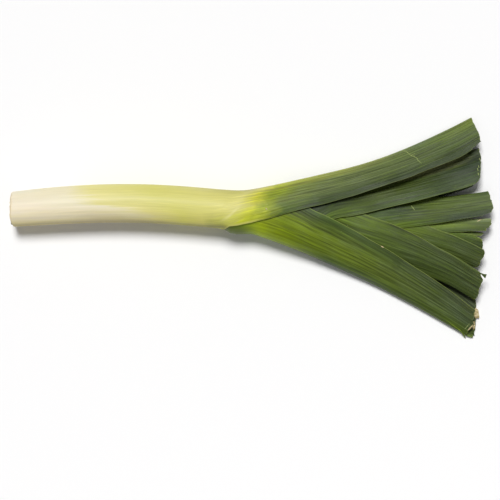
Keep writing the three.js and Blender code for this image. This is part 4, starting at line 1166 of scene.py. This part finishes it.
# the strip that hangs from leaf 4's near margin at its tip
zf = drop_on(4, *at(478.0, 273.2)) or 14.0
sliver("leaf_4_torn_strip", [(475.8, 270.6), (480.3, 272.8), (483.6, 274.0), (486.3, 274.1), (485.6, 276.4), (484.8, 278.4), (483.2, 276.9), (480.9, 274.6), (476.4, 272.0)],
       [zf + 0.25, zf + 0.2, zf - 0.1, zf - 0.6, zf - 0.9, zf - 0.9, zf - 0.3, zf + 0.1, zf + 0.2], 0.62, TORN)
# dried scraps at the lower tip of leaf 2's far half
zd = max(drop_on(2, *at(476.4, 313.0)) or 2.0, 2.4)
sliver("leaf_2_dry_scrap_1", [(476.6, 308.0), (478.8, 309.4), (479.9, 311.0), (480.1, 313.8), (480.8, 316.4), (480.5, 318.7), (479.2, 318.2), (477.0, 319.0), (475.6, 317.0), (475.8, 312.6)],
       [zd - 0.1, zd + 0.2, zd + 0.1, zd - 0.3, zd - 0.5, zd - 0.7, zd - 0.2, zd - 0.5, zd - 0.4, zd - 0.2], 0.45, DRY)
sliver("leaf_2_dry_scrap_2", [(474.2, 321.4), (476.2, 322.0), (476.7, 325.2), (476.3, 329.2), (474.6, 330.4), (473.4, 326.0)],
       [zd - 0.2, zd - 0.4, zd - 0.6, zd - 0.7, zd - 0.7, zd - 0.3], 0.5, DRY)
sliver("leaf_2_torn_tail", [(472.6, 330.4), (474.6, 331.0), (475.2, 333.4), (476.2, 336.2), (473.6, 335.4), (471.6, 336.6), (468.4, 336.6), (467.0, 335.0), (470.2, 333.4)],
       [zd - 0.4, zd - 0.6, zd - 0.9, zd - 1.4, zd - 1.1, zd - 1.3, zd - 0.8, zd - 0.4, zd - 0.3], 0.8, TORN)
# a fibre that has peeled off leaf 2's keel
path = []
for u, v in ((447, 320.6), (452, 324.2), (457, 327.8), (461.6, 331.2)):
    x, y = at(u, v)
    z = drop_on(2, x, y)
    path.append((x, y, (z if z is not None else 12.0) + 0.1))
x, y = at(463.6, 333.6)
path.append((x, y, path[-1][2] - 1.2))
x, y = at(465.4, 336.2)
path.append((x, y, path[-1][2] - 1.6))
x, y = at(466.9, 338.7)
path.append((x, y, path[-1][2] - 1.8))
strand("leaf_2_keel_fibre", path, (0.12, 0.26, 0.34, 0.40, 0.44, 0.46, 0.34), FIBRE)

# ---------------------------------------------------------------- floor, light, camera
bpy.ops.mesh.primitive_plane_add(size=40.0, location=(0, 0, -0.0003))
floor = bpy.context.object
floor.name = "floor"
fm = Nodes("floor_white")
fm.bsdf.inputs["Base Color"].default_value = (0.955, 0.955, 0.965, 1)
fm.bsdf.inputs["Roughness"].default_value = 0.9
fm.bsdf.inputs["Specular IOR Level"].default_value = 0.1
floor.data.materials.append(fm.mat)

world = bpy.data.worlds.new("studio")
bpy.context.scene.world = world
world.use_nodes = True
bg = world.node_tree.nodes["Background"]
bg.inputs[0].default_value = (0.98, 0.99, 1.0, 1)
bg.inputs[1].default_value = 0.15


def area(name, loc, target, size, power, colour=(1, 1, 1)):
    data = bpy.data.lights.new(name, "AREA")
    data.shape, data.size, data.energy, data.color = "SQUARE", size, power, colour
    ob = bpy.data.objects.new(name, data)
    bpy.context.scene.collection.objects.link(ob)
    ob.location = loc
    d = np.array(target, float) - np.array(loc, float)
    from mathutils import Vector

    ob.rotation_mode = "QUATERNION"
    ob.rotation_quaternion = Vector(d).to_track_quat("-Z", "Y")
    return ob


key = bpy.data.lights.new("key", "SUN")
key.energy, key.angle, key.color = 2.95, math.radians(21), (1.0, 0.994, 0.98)
sun = bpy.data.objects.new("key", key)
bpy.context.scene.collection.objects.link(sun)
sun.location = (-0.14, 0.9, 1.65)
sun.rotation_mode = "QUATERNION"
sun.rotation_quaternion = Vector((0.12, -0.52, -1.0)).to_track_quat("-Z", "Y")
area("fill", (0.2, -0.9, 1.7), (0.0, 0.0, 0.0), 1.2, 3.0, (1.0, 1.0, 1.0))

FOCAL, SENSOR = 140.0, 36.0
VIEW_MM = 500 * UNIT
dist = VIEW_MM * FOCAL / SENSOR / 1000.0 + 0.012
cam_data = bpy.data.cameras.new("camera")
cam_data.lens, cam_data.sensor_width = FOCAL, SENSOR
cam = bpy.data.objects.new("camera", cam_data)
bpy.context.scene.collection.objects.link(cam)
cx = X_OF_ZERO + 250 * UNIT
cam.location = (cx / 1000.0, CENTRE_Y / 1000.0, dist)
cam.rotation_euler = (0, 0, 0)
cam_data.clip_start, cam_data.clip_end = 0.05, 20
bpy.context.scene.camera = cam

vs = bpy.context.scene.view_settings
vs.view_transform, vs.look, vs.exposure, vs.gamma = "Standard", "None", 0.0, 1.0
